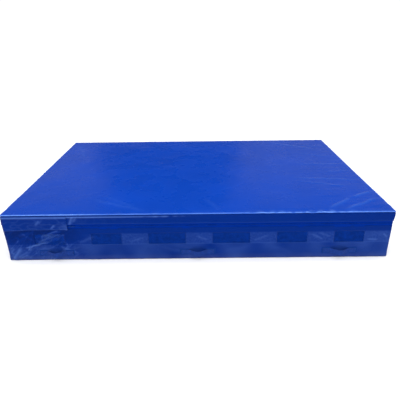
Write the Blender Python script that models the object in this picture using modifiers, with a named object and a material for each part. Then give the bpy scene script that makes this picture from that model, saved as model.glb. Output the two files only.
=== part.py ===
"""A one-piece gym landing mat: foam slabs in a zipped PVC cover with vents and carry handles.

Metres, +Z up. The origin is at the middle of the underside. The 3 m length runs along X, and
the wall that carries the long run of the zip faces -Y. Every wall is described in the same
local frame: u runs along the wall, to the right as seen from outside, and a depth is measured
inwards from the mat's nominal face, so a negative depth stands proud of it.
"""

import math
from collections import namedtuple

import bmesh
import bpy
from mathutils import Matrix, Vector

# The mat as a whole
MAT_LENGTH = 3.0
MAT_WIDTH = 2.0
MAT_HEIGHT = 0.40
CORNER_RADIUS = 0.020
CORNER_STEPS = 5
GAP = 0.0003

# Foam slabs, from the floor up
FOAM_DEPTH = 0.0095
FOAM_FLOOR = 0.0025
FOAM_SLABS = (
    ("foam_base_slab", 0.150, "foam_soft"),
    ("foam_core_slab", 0.195, "foam_soft"),
    ("foam_impact_layer", 0.050, "foam_dense"),
)

# The cover's sheets
SHEET = 0.0012
BASE_THICKNESS = 0.0018
WALL_DEPTH = 0.0016
WALL_LOW = BASE_THICKNESS + GAP
WALL_HIGH = 0.3885
SKIRT_LOW = 0.318
PIPING_RADIUS = 0.0045
PIPING_HEIGHT = 0.3945
PIPING_STEPS = 2

# Vent windows: a row of openings with equal bridges between them, and mesh behind
VENT_LOW = 0.140
VENT_HIGH = 0.232
VENT_BRIDGE = 0.210
LONG_WALL_VENTS = (0.230, 0.234, 0.290, 0.290, 0.234, 0.230)
SHORT_WALL_VENTS = (0.240, 0.240, 0.240, 0.240)
VENT_SHIFT = 0.012
MESH_DEPTH = 0.0031
MESH_THICKNESS = 0.0006
MESH_HEM = 0.012
MESH_END = 0.030

# The zip: it runs along the front wall, round the corner and along the right wall
ZIP_HEIGHT = 0.298
ZIP_DEPTH = 0.0035
TAPE_THICKNESS = 0.0008
TAPE_LOW = 0.270
TAPE_HIGH = 0.327
ZIP_SLOT_LOW = 0.279
ZIP_FRONT_END = -1.045
ZIP_SIDE_END = 0.545
SLOT_MARGIN = 0.005
COIL_THICKNESS = 0.0026
COIL_NEAR = 0.0009
COIL_FAR = 0.0047
STOP_LENGTH = 0.007
STOP_INSET = 0.053

# Zip sliders and pulls, in the slider's own frame: x along its travel, z across the zip
SLIDER_LENGTH = 0.024
SLIDER_WIDTH = 0.014
SLIDER_FROM_STOP = 0.017
SLIDER_OUTER_PLATE = (-0.0008, 0.0017)
SLIDER_INNER_PLATE = (0.0052, 0.0068)
SLIDER_POST = 0.0012
JOINED_OVERLAP = 0.0005
LUG_LENGTH = 0.006
LUG_NEAR = 0.0027
LUG_FAR = 0.0042
LUG_DEPTH = -0.0060
PIVOT_DEPTH = -0.0040
PIVOT_HOLE_RADIUS = 0.00125
PIVOT_RADIUS = 0.0009
PIVOT_HALF_LENGTH = 0.0046
PIVOT_FACETS = 12
PULL_LENGTH = 0.028
PULL_THICKNESS = 0.0014
PULL_ROOT_WIDTH = 0.0044
PULL_WIDTH = 0.009
PULL_NECK = 0.005

# Flaps over the zip's ends
FLAP_THICKNESS = 0.0008
FLAP_DEPTH = -0.0009
FLAP_HINGE_HEIGHT = 0.386
FLAP_HIGH = 0.384
FLAP_LOW = 0.272
FLAP_CORNER_GAP = 0.015
FLAP_FRONT_END = -1.000
FLAP_SIDE_END = 0.500

# Carry handles
HANDLE_HEIGHT = 0.064
HANDLE_WIDTH = 0.040
HANDLE_BOW = 0.0385
HANDLE_HALF_SPAN = 0.0775
HANDLE_THICKNESS = 0.0024
HANDLE_LEAST_BOW = 0.006
HANDLE_STEPS = 20
PATCH_LENGTH = 0.055
PATCH_WIDTH = 0.046
PATCH_CORNER = 0.005
PATCH_CORNER_STEPS = 3
PATCH_FACE = -0.0012
LONG_WALL_HANDLES = (-1.115, 0.0, 1.115)
SHORT_WALL_HANDLES = (-0.550, 0.550)

COLLECTION = "gym_landing_mat"
CUTTER_COLLECTION = "cutters"
CUTTER_REACH = 0.05
SHARP_ANGLE = math.radians(30.0)

# Each material: base colour, roughness, metallic
MATERIALS = {
    "cover_pvc": ((0.012, 0.065, 0.520), 0.38, 0.0),
    "base_pvc": ((0.015, 0.030, 0.140), 0.70, 0.0),
    "piping_pvc": ((0.020, 0.085, 0.560), 0.30, 0.0),
    "vent_mesh": ((0.008, 0.028, 0.190), 0.80, 0.0),
    "zip_tape": ((0.006, 0.030, 0.260), 0.75, 0.0),
    "zip_coil": ((0.006, 0.030, 0.240), 0.40, 0.0),
    "zip_metal": ((0.020, 0.060, 0.260), 0.30, 0.8),
    "webbing": ((0.012, 0.055, 0.300), 0.70, 0.0),
    "foam_soft": ((0.780, 0.760, 0.680), 0.90, 0.0),
    "foam_dense": ((0.320, 0.340, 0.360), 0.90, 0.0),
}

Side = namedtuple("Side", "angle half_span reach vents vent_shift handles")


def long_side(angle):
    """A 3 m wall, turned from the front wall's place by an angle."""
    return Side(angle, MAT_LENGTH / 2, MAT_WIDTH / 2, LONG_WALL_VENTS, VENT_SHIFT, LONG_WALL_HANDLES)


def short_side(angle):
    """A 2 m wall, turned from the front wall's place by an angle."""
    return Side(angle, MAT_WIDTH / 2, MAT_LENGTH / 2, SHORT_WALL_VENTS, 0.0, SHORT_WALL_HANDLES)


SIDES = {
    "front": long_side(0.0),
    "right": short_side(0.5 * math.pi),
    "back": long_side(math.pi),
    "left": short_side(1.5 * math.pi),
}


def clear_scene():
    """Remove every object, so that the script gives the same result in any file."""
    for obj in list(bpy.data.objects):
        bpy.data.objects.remove(obj, do_unlink=True)


def new_collection(name):
    collection = bpy.data.collections.new(name)
    bpy.context.scene.collection.children.link(collection)
    return collection


def finish_part(obj, material):
    """Put a part in the mat's collection and give it its own material."""
    bpy.data.collections[COLLECTION].objects.link(obj)
    colour, roughness, metallic = MATERIALS[material]
    shader_material = bpy.data.materials.new(f"{obj.name}_{material}")
    shader_material.use_nodes = True
    shader = shader_material.node_tree.nodes["Principled BSDF"]
    shader.inputs["Base Color"].default_value = (*colour, 1.0)
    shader.inputs["Roughness"].default_value = roughness
    shader.inputs["Metallic"].default_value = metallic
    obj.data.materials.append(shader_material)
    return obj


def finish_cutter(obj):
    bpy.data.collections[CUTTER_COLLECTION].objects.link(obj)
    obj.hide_render = True
    obj.display_type = "WIRE"
    return obj


def side_matrix(side):
    """From a wall's local frame, in which it faces -Y, to the mat's frame."""
    return Matrix.Rotation(side.angle, 4, "Z")


def mesh_object(name, mesh_maker):
    """A mesh object from a bmesh that mesh_maker fills."""
    mesh = bpy.data.meshes.new(name)
    shape = bmesh.new()
    mesh_maker(shape)
    bmesh.ops.recalc_face_normals(shape, faces=shape.faces)
    shape.to_mesh(mesh)
    shape.free()
    return bpy.data.objects.new(name, mesh)


def box_object(name, low, high):
    """A block between two opposite corners."""
    size = Vector(high) - Vector(low)
    middle = (Vector(high) + Vector(low)) / 2
    placing = Matrix.Translation(middle) @ Matrix.Diagonal((*size, 1.0))
    return mesh_object(name, lambda shape: bmesh.ops.create_cube(shape, size=1.0, matrix=placing))


def cylinder_object(name, radius, half_length):
    """A thin round bar along Z, with its middle at the origin."""

    def fill(shape):
        bmesh.ops.create_cone(
            shape,
            cap_ends=True,
            segments=PIVOT_FACETS,
            radius1=radius,
            radius2=radius,
            depth=2 * half_length,
        )

    return mesh_object(name, fill)


def arc(centre, radius, start, steps):
    """A quarter turn, anticlockwise from the start angle, as plan points."""
    angles = [start + 0.5 * math.pi * step / steps for step in range(steps + 1)]
    return [(centre[0] + radius * math.cos(a), centre[1] + radius * math.sin(a)) for a in angles]


def rounded_rectangle(half_x, half_y, radius, steps):
    """Plan points of a rectangle with round corners, anticlockwise from the lower right."""
    points = []
    for turn, (x_sign, y_sign) in enumerate(((1, -1), (1, 1), (-1, 1), (-1, -1))):
        centre = (x_sign * (half_x - radius), y_sign * (half_y - radius))
        points += arc(centre, radius, 0.5 * math.pi * (turn - 1), steps)
    return points


def mat_outline(depth):
    """The mat's plan outline, moved in by a depth."""
    half_x = MAT_LENGTH / 2 - depth
    half_y = MAT_WIDTH / 2 - depth
    return rounded_rectangle(half_x, half_y, CORNER_RADIUS - depth, CORNER_STEPS)


def slab(name, outline, low, high):
    """A flat sheet or block: a plan outline extruded between two heights."""
    curve = bpy.data.curves.new(name, "CURVE")
    curve.dimensions = "2D"
    curve.fill_mode = "BOTH"
    curve.extrude = (high - low) / 2
    spline = curve.splines.new("POLY")
    spline.points.add(len(outline) - 1)
    for point, (x, y) in zip(spline.points, outline):
        point.co = (x, y, 0.0, 1.0)
    spline.use_cyclic_u = True
    obj = bpy.data.objects.new(name, curve)
    obj.location.z = (low + high) / 2
    return obj


def upright_strip(name, path, low, high, thickness, closed=False):
    """A sheet that stands on a plan path, thickened half to each side of it."""

    def fill(shape):
        corners = [shape.verts.new((x, y, low)) for x, y in path]
        ends = corners[1:] + corners[:1] if closed else corners[1:]
        edges = [shape.edges.new(pair) for pair in zip(corners, ends)]
        grown = bmesh.ops.extrude_edge_only(shape, edges=edges)
        raised = [item for item in grown["geom"] if isinstance(item, bmesh.types.BMVert)]
        bmesh.ops.translate(shape, verts=raised, vec=(0.0, 0.0, high - low))

    obj = mesh_object(name, fill)
    solidify = obj.modifiers.new("thickness", "SOLIDIFY")
    solidify.thickness = thickness
    solidify.offset = 0.0
    solidify.use_even_offset = True
    return obj


def add_boolean(obj, tool, operation):
    modifier = obj.modifiers.new(tool.name, "BOOLEAN")
    modifier.operation = operation
    modifier.object = tool
    modifier.solver = "EXACT"


def make_foam():
    outline = mat_outline(FOAM_DEPTH)
    low = FOAM_FLOOR
    for name, thickness, material in FOAM_SLABS:
        finish_part(slab(name, outline, low, low + thickness), material)
        low += thickness + GAP


def make_panels():
    base = slab("base_panel", mat_outline(WALL_DEPTH), 0.0, BASE_THICKNESS)
    finish_part(base, "base_pvc")
    top_outline = mat_outline(2 * PIPING_RADIUS + GAP)
    top = slab("top_panel", top_outline, MAT_HEIGHT - SHEET, MAT_HEIGHT)
    finish_part(top, "cover_pvc")


def make_edge_piping():
    """The bead welded round the top panel's rim."""
    curve = bpy.data.curves.new("edge_piping", "CURVE")
    curve.dimensions = "3D"
    curve.bevel_depth = PIPING_RADIUS
    curve.bevel_resolution = PIPING_STEPS
    spline = curve.splines.new("POLY")
    outline = mat_outline(PIPING_RADIUS)
    spline.points.add(len(outline) - 1)
    for point, (x, y) in zip(spline.points, outline):
        point.co = (x, y, PIPING_HEIGHT, 1.0)
    spline.use_cyclic_u = True
    finish_part(bpy.data.objects.new("edge_piping", curve), "piping_pvc")


def make_skirt():
    path = mat_outline(SHEET / 2)
    strip = upright_strip("skirt_band", path, SKIRT_LOW, WALL_HIGH, SHEET, closed=True)
    finish_part(strip, "cover_pvc")


def wall_path(side, depth):
    """Along one wall and round the corner at its right end, in the wall's local frame."""
    straight_end = side.half_span - CORNER_RADIUS
    corner = (straight_end, CORNER_RADIUS - side.reach)
    turn = arc(corner, CORNER_RADIUS - depth, -0.5 * math.pi, CORNER_STEPS)
    return [(GAP - straight_end, depth - side.reach)] + turn


def vent_spans(side):
    """The two ends of each vent window along the wall."""
    left = side.vent_shift - (sum(side.vents) + VENT_BRIDGE * (len(side.vents) - 1)) / 2
    spans = []
    for width in side.vents:
        spans.append((left, left + width))
        left += width + VENT_BRIDGE
    return spans


def wall_cutter(name, side, span, low, high):
    """A block that goes right through a wall between two places along it."""
    near = -side.reach - CUTTER_REACH
    far = CUTTER_REACH - side.reach
    cutter = finish_cutter(box_object(name, (span[0], near, low), (span[1], far, high)))
    cutter.matrix_world = side_matrix(side)
    return cutter


def zip_slot_span(name, side):
    """Where a wall stops short at the zip, or None on a wall without one."""
    beyond = side.half_span + CUTTER_REACH
    spans = {
        "front": (ZIP_FRONT_END - SLOT_MARGIN, beyond),
        "right": (-beyond, ZIP_SIDE_END + SLOT_MARGIN),
    }
    return spans.get(name)


def make_wall(name, side):
    path = wall_path(side, WALL_DEPTH + SHEET / 2)
    wall = upright_strip(f"wall_{name}", path, WALL_LOW, WALL_HIGH, SHEET)
    wall.matrix_world = side_matrix(side)
    for number, span in enumerate(vent_spans(side), 1):
        cutter = wall_cutter(f"vent_{name}_{number}", side, span, VENT_LOW, VENT_HIGH)
        add_boolean(wall, cutter, "DIFFERENCE")
    slot = zip_slot_span(name, side)
    if slot:
        cutter = wall_cutter(f"zip_slot_{name}", side, slot, ZIP_SLOT_LOW, MAT_HEIGHT)
        add_boolean(wall, cutter, "DIFFERENCE")
    finish_part(wall, "cover_pvc")


def make_vent_mesh(name, side):
    depth = MESH_DEPTH + MESH_THICKNESS / 2
    end = side.half_span - MESH_END
    path = [(-end, depth - side.reach), (end, depth - side.reach)]
    strip = upright_strip(
        f"vent_mesh_{name}", path, VENT_LOW - MESH_HEM, VENT_HIGH + MESH_HEM, MESH_THICKNESS
    )
    strip.matrix_world = side_matrix(side)
    finish_part(strip, "vent_mesh")


def zip_path(trim):
    """Along the front wall and round the corner to the right wall, shorter by trim at each end."""
    half_length = MAT_LENGTH / 2
    half_width = MAT_WIDTH / 2
    corner = (half_length - CORNER_RADIUS, CORNER_RADIUS - half_width)
    start = (ZIP_FRONT_END + trim, ZIP_DEPTH - half_width)
    end = (half_length - ZIP_DEPTH, ZIP_SIDE_END - trim)
    turn = arc(corner, CORNER_RADIUS - ZIP_DEPTH, -0.5 * math.pi, CORNER_STEPS)
    return [start] + turn + [end]


def make_zip_strips():
    """Two tapes, each with half of the coil along its edge. The sliders' posts run between."""
    tape_edge = COIL_FAR + GAP
    tapes = {
        "lower": (TAPE_LOW, ZIP_HEIGHT - tape_edge),
        "upper": (ZIP_HEIGHT + tape_edge, TAPE_HIGH),
    }
    for half, (low, high) in tapes.items():
        tape = upright_strip(f"zip_tape_{half}", zip_path(0.0), low, high, TAPE_THICKNESS)
        finish_part(tape, "zip_tape")
    coils = {
        "lower": (ZIP_HEIGHT - COIL_FAR, ZIP_HEIGHT - COIL_NEAR),
        "upper": (ZIP_HEIGHT + COIL_NEAR, ZIP_HEIGHT + COIL_FAR),
    }
    coil_path = zip_path(STOP_INSET + STOP_LENGTH + GAP)
    for half, (low, high) in coils.items():
        coil = upright_strip(f"zip_coil_{half}", coil_path, low, high, COIL_THICKNESS)
        finish_part(coil, "zip_coil")


def zip_end_matrix(name):
    """From a slider's frame to the mat's: the origin on the zip's outer face, at its closed end."""
    side = SIDES[name]
    to_slider = STOP_INSET + STOP_LENGTH + SLIDER_FROM_STOP
    if name == "front":
        place = Matrix.Translation((ZIP_FRONT_END + to_slider, -side.reach, ZIP_HEIGHT))
        return side_matrix(side) @ place
    place = Matrix.Translation((ZIP_SIDE_END - to_slider, -side.reach, ZIP_HEIGHT))
    return side_matrix(side) @ place @ Matrix.Rotation(math.pi, 4, "Y")


def make_zip_stop(name):
    half_thickness = COIL_THICKNESS / 2
    end = -SLIDER_FROM_STOP
    stop = box_object(
        f"zip_stop_{name}",
        (end - STOP_LENGTH, ZIP_DEPTH - half_thickness, -COIL_FAR),
        (end, ZIP_DEPTH + half_thickness, COIL_FAR),
    )
    stop.matrix_world = zip_end_matrix(name)
    finish_part(stop, "zip_metal")


def make_slider(name):
    """Two plates joined by a post, with two lugs outside that hold the pull's pivot."""
    half_length = SLIDER_LENGTH / 2
    half_width = SLIDER_WIDTH / 2
    half_post = SLIDER_POST / 2
    half_lug = LUG_LENGTH / 2
    outer_low, outer_high = SLIDER_OUTER_PLATE
    inner_low, inner_high = SLIDER_INNER_PLATE
    lug_foot = outer_low + JOINED_OVERLAP
    place = zip_end_matrix(name)
    slider = box_object(
        f"zip_slider_{name}",
        (-half_length, outer_low, -half_width),
        (half_length, outer_high, half_width),
    )
    pieces = {
        "inner_plate": (
            (-half_length, inner_low, -half_width),
            (half_length, inner_high, half_width),
        ),
        "post": (
            (half_post, outer_high - JOINED_OVERLAP, -half_post),
            (half_length / 2, inner_low + JOINED_OVERLAP, half_post),
        ),
        "lug_low": ((-half_lug, LUG_DEPTH, -LUG_FAR), (half_lug, lug_foot, -LUG_NEAR)),
        "lug_high": ((-half_lug, LUG_DEPTH, LUG_NEAR), (half_lug, lug_foot, LUG_FAR)),
    }
    slider.matrix_world = place
    for piece, (low, high) in pieces.items():
        tool = finish_cutter(box_object(f"slider_{piece}_{name}", low, high))
        tool.matrix_world = place
        add_boolean(slider, tool, "UNION")
    hole = cylinder_object(f"slider_hole_{name}", PIVOT_HOLE_RADIUS, half_width)
    finish_cutter(hole).matrix_world = place @ Matrix.Translation((0.0, PIVOT_DEPTH, 0.0))
    add_boolean(slider, hole, "DIFFERENCE")
    finish_part(slider, "zip_metal")


def make_pull(name):
    """A tab with a narrow neck between the lugs, on a cross bar that turns in their holes."""
    place = zip_end_matrix(name) @ Matrix.Translation((0.0, PIVOT_DEPTH, 0.0))
    half_thickness = PULL_THICKNESS / 2
    half_root = PULL_ROOT_WIDTH / 2
    half_tab = PULL_WIDTH / 2
    tab_start = PULL_NECK - half_thickness
    pull = cylinder_object(f"zip_pull_{name}", PIVOT_RADIUS, PIVOT_HALF_LENGTH)
    tabs = {
        "neck": ((0.0, -half_thickness, -half_root), (PULL_NECK, half_thickness, half_root)),
        "tab": ((tab_start, -half_thickness, -half_tab), (PULL_LENGTH, half_thickness, half_tab)),
    }
    pull.matrix_world = place
    for piece, (low, high) in tabs.items():
        tool = finish_cutter(box_object(f"pull_{piece}_{name}", low, high))
        tool.matrix_world = place
        add_boolean(pull, tool, "UNION")
    finish_part(pull, "zip_metal")


def make_flap(name, span):
    """A loose flap with its origin on its hinge line, in the wall's local frame."""
    side = SIDES[name]
    half_thickness = FLAP_THICKNESS / 2
    flap = box_object(
        f"zip_flap_{name}",
        (span[0], -half_thickness, FLAP_LOW - FLAP_HINGE_HEIGHT),
        (span[1], half_thickness, FLAP_HIGH - FLAP_HINGE_HEIGHT),
    )
    hinge = Matrix.Translation((0.0, FLAP_DEPTH - side.reach, FLAP_HINGE_HEIGHT))
    flap.matrix_world = side_matrix(side) @ hinge
    finish_part(flap, "cover_pvc")


def strap_bow(u):
    """How far the strap stands off its end patches at a distance u from its middle."""
    return HANDLE_BOW * math.cos(0.5 * math.pi * u / HANDLE_HALF_SPAN) ** 2


def strap_half_width(u):
    """The strap is narrowed towards its ends by the twist that it makes as it turns."""
    return min(HANDLE_WIDTH / 2, strap_bow(u))


def make_strap(name, place):
    """The free part of a handle, with its origin on the line that it turns about."""
    least = math.sqrt(HANDLE_LEAST_BOW / HANDLE_BOW)
    reach = HANDLE_HALF_SPAN * math.acos(least) / (0.5 * math.pi)

    def fill(shape):
        bmesh.ops.create_grid(shape, x_segments=HANDLE_STEPS, y_segments=1, size=1.0)
        for vert in shape.verts:
            u = reach * vert.co.x
            edge = vert.co.y
            vert.co = (u, -strap_bow(u), edge * strap_half_width(u))

    strap = mesh_object(name, fill)
    solidify = strap.modifiers.new("thickness", "SOLIDIFY")
    solidify.thickness = HANDLE_THICKNESS
    solidify.offset = 0.0
    solidify.use_even_offset = True
    strap.matrix_world = place
    finish_part(strap, "webbing")


def make_patch(name, place, centre):
    """A sewn end: the webbing's end on its reinforcing patch, flat on the wall."""
    half_length = PATCH_LENGTH / 2
    half_width = PATCH_WIDTH / 2
    outline = rounded_rectangle(half_length, half_width, PATCH_CORNER, PATCH_CORNER_STEPS)
    wall_face = WALL_DEPTH - GAP
    patch = slab(name, outline, 0.0, wall_face - PATCH_FACE)
    upright = Matrix.Rotation(0.5 * math.pi, 4, "X")
    middle = Matrix.Translation((centre, (wall_face - PATCH_FACE) / 2, 0.0))
    patch.matrix_world = place @ middle @ upright
    finish_part(patch, "webbing")


def make_handle(side_name, number, u):
    side = SIDES[side_name]
    name = f"handle_{side_name}_{number}"
    place = side_matrix(side) @ Matrix.Translation((u, PATCH_FACE - side.reach, HANDLE_HEIGHT))
    make_strap(f"{name}_strap", place)
    patch_centre = HANDLE_HALF_SPAN + (PATCH_LENGTH + HANDLE_THICKNESS) / 2
    make_patch(f"{name}_patch_a", place, -patch_centre)
    make_patch(f"{name}_patch_b", place, patch_centre)


def shade_round_parts():
    """Smooth shading where a strip or a bar turns, with flat faces kept sharp."""
    for obj in bpy.data.collections[COLLECTION].objects:
        if obj.type == "MESH":
            obj.data.shade_smooth()
            obj.data.set_sharp_from_angle(angle=SHARP_ANGLE)


def main():
    clear_scene()
    new_collection(COLLECTION)
    new_collection(CUTTER_COLLECTION)
    make_foam()
    make_panels()
    make_edge_piping()
    make_skirt()
    for name, side in SIDES.items():
        make_wall(name, side)
        make_vent_mesh(name, side)
        for number, u in enumerate(side.handles, 1):
            make_handle(name, number, u)
    make_zip_strips()
    for name in ("front", "right"):
        make_zip_stop(name)
        make_slider(name)
        make_pull(name)
    make_flap("front", (FLAP_CORNER_GAP - MAT_LENGTH / 2, FLAP_FRONT_END))
    make_flap("right", (FLAP_SIDE_END, MAT_WIDTH / 2 - FLAP_CORNER_GAP))
    shade_round_parts()


main()
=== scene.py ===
"""The looks of the gym landing mat: its PVC cover, vents, zip, flaps, handles and foam.

Metres, +Z up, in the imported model's frame. Each wall has a local frame: u runs along the wall,
to the right as seen from outside, out is the distance outwards from the mat's nominal face, and
z is the height. Past the wall's straight part, u goes on round the corner at its right end.
"""

import math
from collections import namedtuple

import bmesh
import bpy
import numpy as np
from mathutils import Matrix, Vector


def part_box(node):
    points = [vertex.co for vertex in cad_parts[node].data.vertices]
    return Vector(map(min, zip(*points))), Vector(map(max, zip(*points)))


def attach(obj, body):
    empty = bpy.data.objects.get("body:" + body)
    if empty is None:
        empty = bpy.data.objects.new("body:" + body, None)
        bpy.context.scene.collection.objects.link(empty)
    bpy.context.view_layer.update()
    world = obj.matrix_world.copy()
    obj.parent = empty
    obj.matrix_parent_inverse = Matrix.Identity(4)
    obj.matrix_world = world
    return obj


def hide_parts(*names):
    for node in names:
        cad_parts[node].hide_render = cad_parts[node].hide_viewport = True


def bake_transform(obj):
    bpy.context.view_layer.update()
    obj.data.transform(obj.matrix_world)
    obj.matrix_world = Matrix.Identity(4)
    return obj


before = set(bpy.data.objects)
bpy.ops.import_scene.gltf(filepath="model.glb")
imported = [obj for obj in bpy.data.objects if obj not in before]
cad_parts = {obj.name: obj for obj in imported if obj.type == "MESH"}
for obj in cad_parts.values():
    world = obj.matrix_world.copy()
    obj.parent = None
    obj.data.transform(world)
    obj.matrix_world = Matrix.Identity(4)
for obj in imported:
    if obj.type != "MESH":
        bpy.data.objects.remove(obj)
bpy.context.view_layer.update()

# The mat, from the frame
SKIRT_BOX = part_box("skirt_band")
HALF_LENGTH = SKIRT_BOX[1].x
HALF_WIDTH = SKIRT_BOX[1].y
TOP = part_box("top_panel")[1].z
BASE_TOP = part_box("base_panel")[1].z
SKIRT_LOW = SKIRT_BOX[0].z
SKIRT_HIGH = SKIRT_BOX[1].z
COIL_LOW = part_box("zip_coil_lower")
COIL_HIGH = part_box("zip_coil_upper")
ZIP_HEIGHT = (COIL_LOW[1].z + COIL_HIGH[0].z) / 2
ZIP_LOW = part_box("zip_tape_lower")[0].z
ZIP_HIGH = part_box("zip_tape_upper")[1].z
CORNER = 0.009
CORNER_FADE = 0.035
SHEET = 0.0012
WALL_HIGH = 0.335
FLAP_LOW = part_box("zip_flap_front")[0].z
FLAP_HIGH = 0.3855

# How the soft block has settled
FOOT_SPREAD = 0.0025
LEAN_START_X = 1.15
LEAN_END_Y = -0.3
LEAN_LEFT = 0.007
LEAN_LEFT_HEIGHT = 0.31
LEAN_LEFT_SPREAD = 0.12
LEAN_RIGHT = 0.006
LEAN_RIGHT_HEIGHT = 0.360
LEAN_RIGHT_SPREAD = 0.08
LEAN_RIGHT_LOW = 0.309
LEAN_RIGHT_FULL = 0.365

# Vent windows, laid out as in the CAD model
VENT_LOW = 0.140
VENT_HIGH = 0.232
VENT_BRIDGE = 0.210
LONG_WALL_VENTS = (0.230, 0.234, 0.290, 0.290, 0.234, 0.230)
SHORT_WALL_VENTS = (0.240, 0.240, 0.240, 0.240)
VENT_SHIFT = 0.012
VENT_HEM = 0.012
HEM_SLOPE = 0.002
VENT_EDGE = 0.002
HEM_LIFT = 0.0008
HEM_STEPS = (0.0, VENT_HEM, VENT_HEM + HEM_SLOPE)

# Outward places of the cover's layers
WALL_OUT = -0.0016
WALL_GAP = 0.0003
TAPE_OUT = -0.0031
MESH_OUT = -0.0034
SLOT_LOW = 0.279
SLOT_GAP = 0.005

# Zip
ZIP_FRONT_START = COIL_LOW[0].x
ZIP_SIDE_END = COIL_LOW[1].y
TAPE_TAIL = 0.060
TAPE_SHEET = 0.0008
TAPE_GAP = 0.0012
TOOTH_PITCH = 0.0023
TOOTH_RADIUS = 0.0010
TOOTH_HALF_LENGTH = 0.0036
TOOTH_STAGGER = 0.0013

Side = namedtuple("Side", "name angle half_span reach vents vent_shift seed")
SIDES = (
    Side("front", 0.0, HALF_LENGTH, HALF_WIDTH, LONG_WALL_VENTS, VENT_SHIFT, 11),
    Side("right", 0.5 * math.pi, HALF_WIDTH, HALF_LENGTH, SHORT_WALL_VENTS, 0.0, 23),
    Side("back", math.pi, HALF_LENGTH, HALF_WIDTH, LONG_WALL_VENTS, VENT_SHIFT, 37),
    Side("left", 1.5 * math.pi, HALF_WIDTH, HALF_LENGTH, SHORT_WALL_VENTS, 0.0, 53),
)
FRONT, RIGHT = SIDES[:2]

# Handles
HANDLE_HEIGHT = 0.064
HANDLE_WIDTH = 0.040
HANDLE_BOW = 0.0385
HANDLE_HALF_SPAN = 0.0775
HANDLE_END = 0.055
HANDLE_THICKNESS = 0.0024
PATCH_FACE_OUT = 0.0012
LONG_WALL_HANDLES = (-1.115, 0.0, 1.115)
SHORT_WALL_HANDLES = (-0.550, 0.550)

Handle = namedtuple("Handle", "name side u")
HANDLES = [
    Handle(f"handle_{side.name}_{number}", side, u)
    for side in SIDES
    for number, u in enumerate(
        LONG_WALL_HANDLES if side.half_span == HALF_LENGTH else SHORT_WALL_HANDLES, 1
    )
]

# Creases pressed into the cover: start, end, height and width. On the top they are in x and y,
# on the front wall in u and z.
TOP_CREASES = (
    ((0.98, 0.090), (1.48, 0.095), 0.0030, 0.012),
    ((1.06, 0.467), (1.40, 0.330), 0.0024, 0.014),
    ((1.19, -0.140), (1.485, -0.100), 0.0030, 0.011),
    ((0.83, -0.290), (1.48, -0.345), 0.0032, 0.014),
    ((0.86, -0.355), (1.33, -0.513), 0.0022, 0.014),
    ((1.00, -0.950), (1.25, -0.741), 0.0034, 0.020),
    ((1.25, -0.741), (1.47, -0.607), 0.0042, 0.016),
    ((1.11, -0.975), (1.46, -0.746), 0.0036, 0.018),
    ((0.80, 0.930), (1.37, 0.560), 0.0026, 0.020),
    ((1.16, 0.750), (1.47, 0.700), 0.0022, 0.014),
    ((1.28, 0.230), (1.48, 0.210), 0.0020, 0.010),
    ((-0.89, -0.715), (-0.36, -0.962), 0.0018, 0.020),
    ((-0.80, -0.640), (-0.46, -0.900), 0.0014, 0.018),
    ((0.06, -0.738), (0.18, -0.956), 0.0016, 0.018),
    ((-1.20, 0.300), (-1.42, 0.900), 0.0012, 0.025),
)
FRONT_CREASES = (
    ((-1.370, 0.112), (-1.215, 0.157), 0.0050, 0.009),
    ((-1.300, 0.128), (-1.160, 0.176), 0.0058, 0.008),
    ((-1.260, 0.150), (-1.120, 0.235), 0.0040, 0.012),
    ((-1.225, 0.212), (-1.050, 0.272), 0.0064, 0.015),
    ((-1.180, 0.185), (-1.060, 0.240), 0.0042, 0.010),
    ((-1.400, 0.215), (-1.290, 0.262), 0.0030, 0.014),
    ((-1.430, 0.150), (-1.330, 0.215), 0.0026, 0.014),
    ((-1.345, 0.088), (-1.285, 0.140), 0.0040, 0.006),
    ((-1.480, 0.005), (-1.385, 0.118), 0.0050, 0.016),
    ((-1.490, 0.060), (-1.440, 0.120), 0.0030, 0.010),
    ((-1.440, 0.020), (-1.330, 0.085), 0.0026, 0.010),
    ((-0.950, 0.155), (-0.785, 0.212), 0.0018, 0.016),
    ((-1.095, 0.138), (-0.930, 0.048), 0.0024, 0.012),
    ((-1.380, 0.265), (-1.260, 0.165), 0.0026, 0.012),
    ((1.310, 0.163), (1.405, 0.160), 0.0036, 0.008),
    ((1.430, 0.222), (1.475, 0.172), 0.0034, 0.008),
    ((0.870, 0.222), (0.985, 0.160), 0.0024, 0.009),
    ((0.930, 0.228), (1.040, 0.190), 0.0020, 0.008),
    ((0.430, 0.165), (0.560, 0.205), 0.0016, 0.010),
    ((-0.020, 0.210), (0.090, 0.170), 0.0018, 0.010),
    ((-0.560, 0.160), (-0.400, 0.200), 0.0014, 0.010),
    ((-0.300, 0.130), (-0.120, 0.060), 0.0007, 0.020),
    ((0.180, 0.060), (0.420, 0.120), 0.0006, 0.022),
    ((0.560, 0.120), (0.760, 0.040), 0.0006, 0.020),
)
# On the front flap: also the strength and the width of each ridge's painted highlight
FLAP_CREASES = (
    ((-1.250, 0.305), (-1.205, 0.360), 0.0026, 0.010, 0.35, 0.012),
    ((-1.135, 0.275), (-1.095, 0.315), 0.0024, 0.008, 0.40, 0.010),
)


# ---------------------------------------------------------------- shapes in numbers


def smoothstep(low, high, x):
    t = np.clip((x - low) / (high - low), 0.0, 1.0)
    return t * t * (3.0 - 2.0 * t)


def hump(x, centre, width):
    return np.exp(-(((x - centre) / width) ** 2))


def ripple(u, v, scale, seed, waves=9):
    """Smooth random relief of about unit height, with features of a given size."""
    rng = np.random.default_rng(seed)
    total = np.zeros(np.broadcast(u, v).shape)
    for _ in range(waves):
        heading = rng.uniform(0.0, 2.0 * math.pi)
        wavelength = scale * rng.uniform(0.7, 1.6)
        phase = rng.uniform(0.0, 2.0 * math.pi)
        along = u * math.cos(heading) + v * math.sin(heading)
        total = total + np.sin(2.0 * math.pi * along / wavelength + phase)
    return total / math.sqrt(waves / 2.0)


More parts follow.
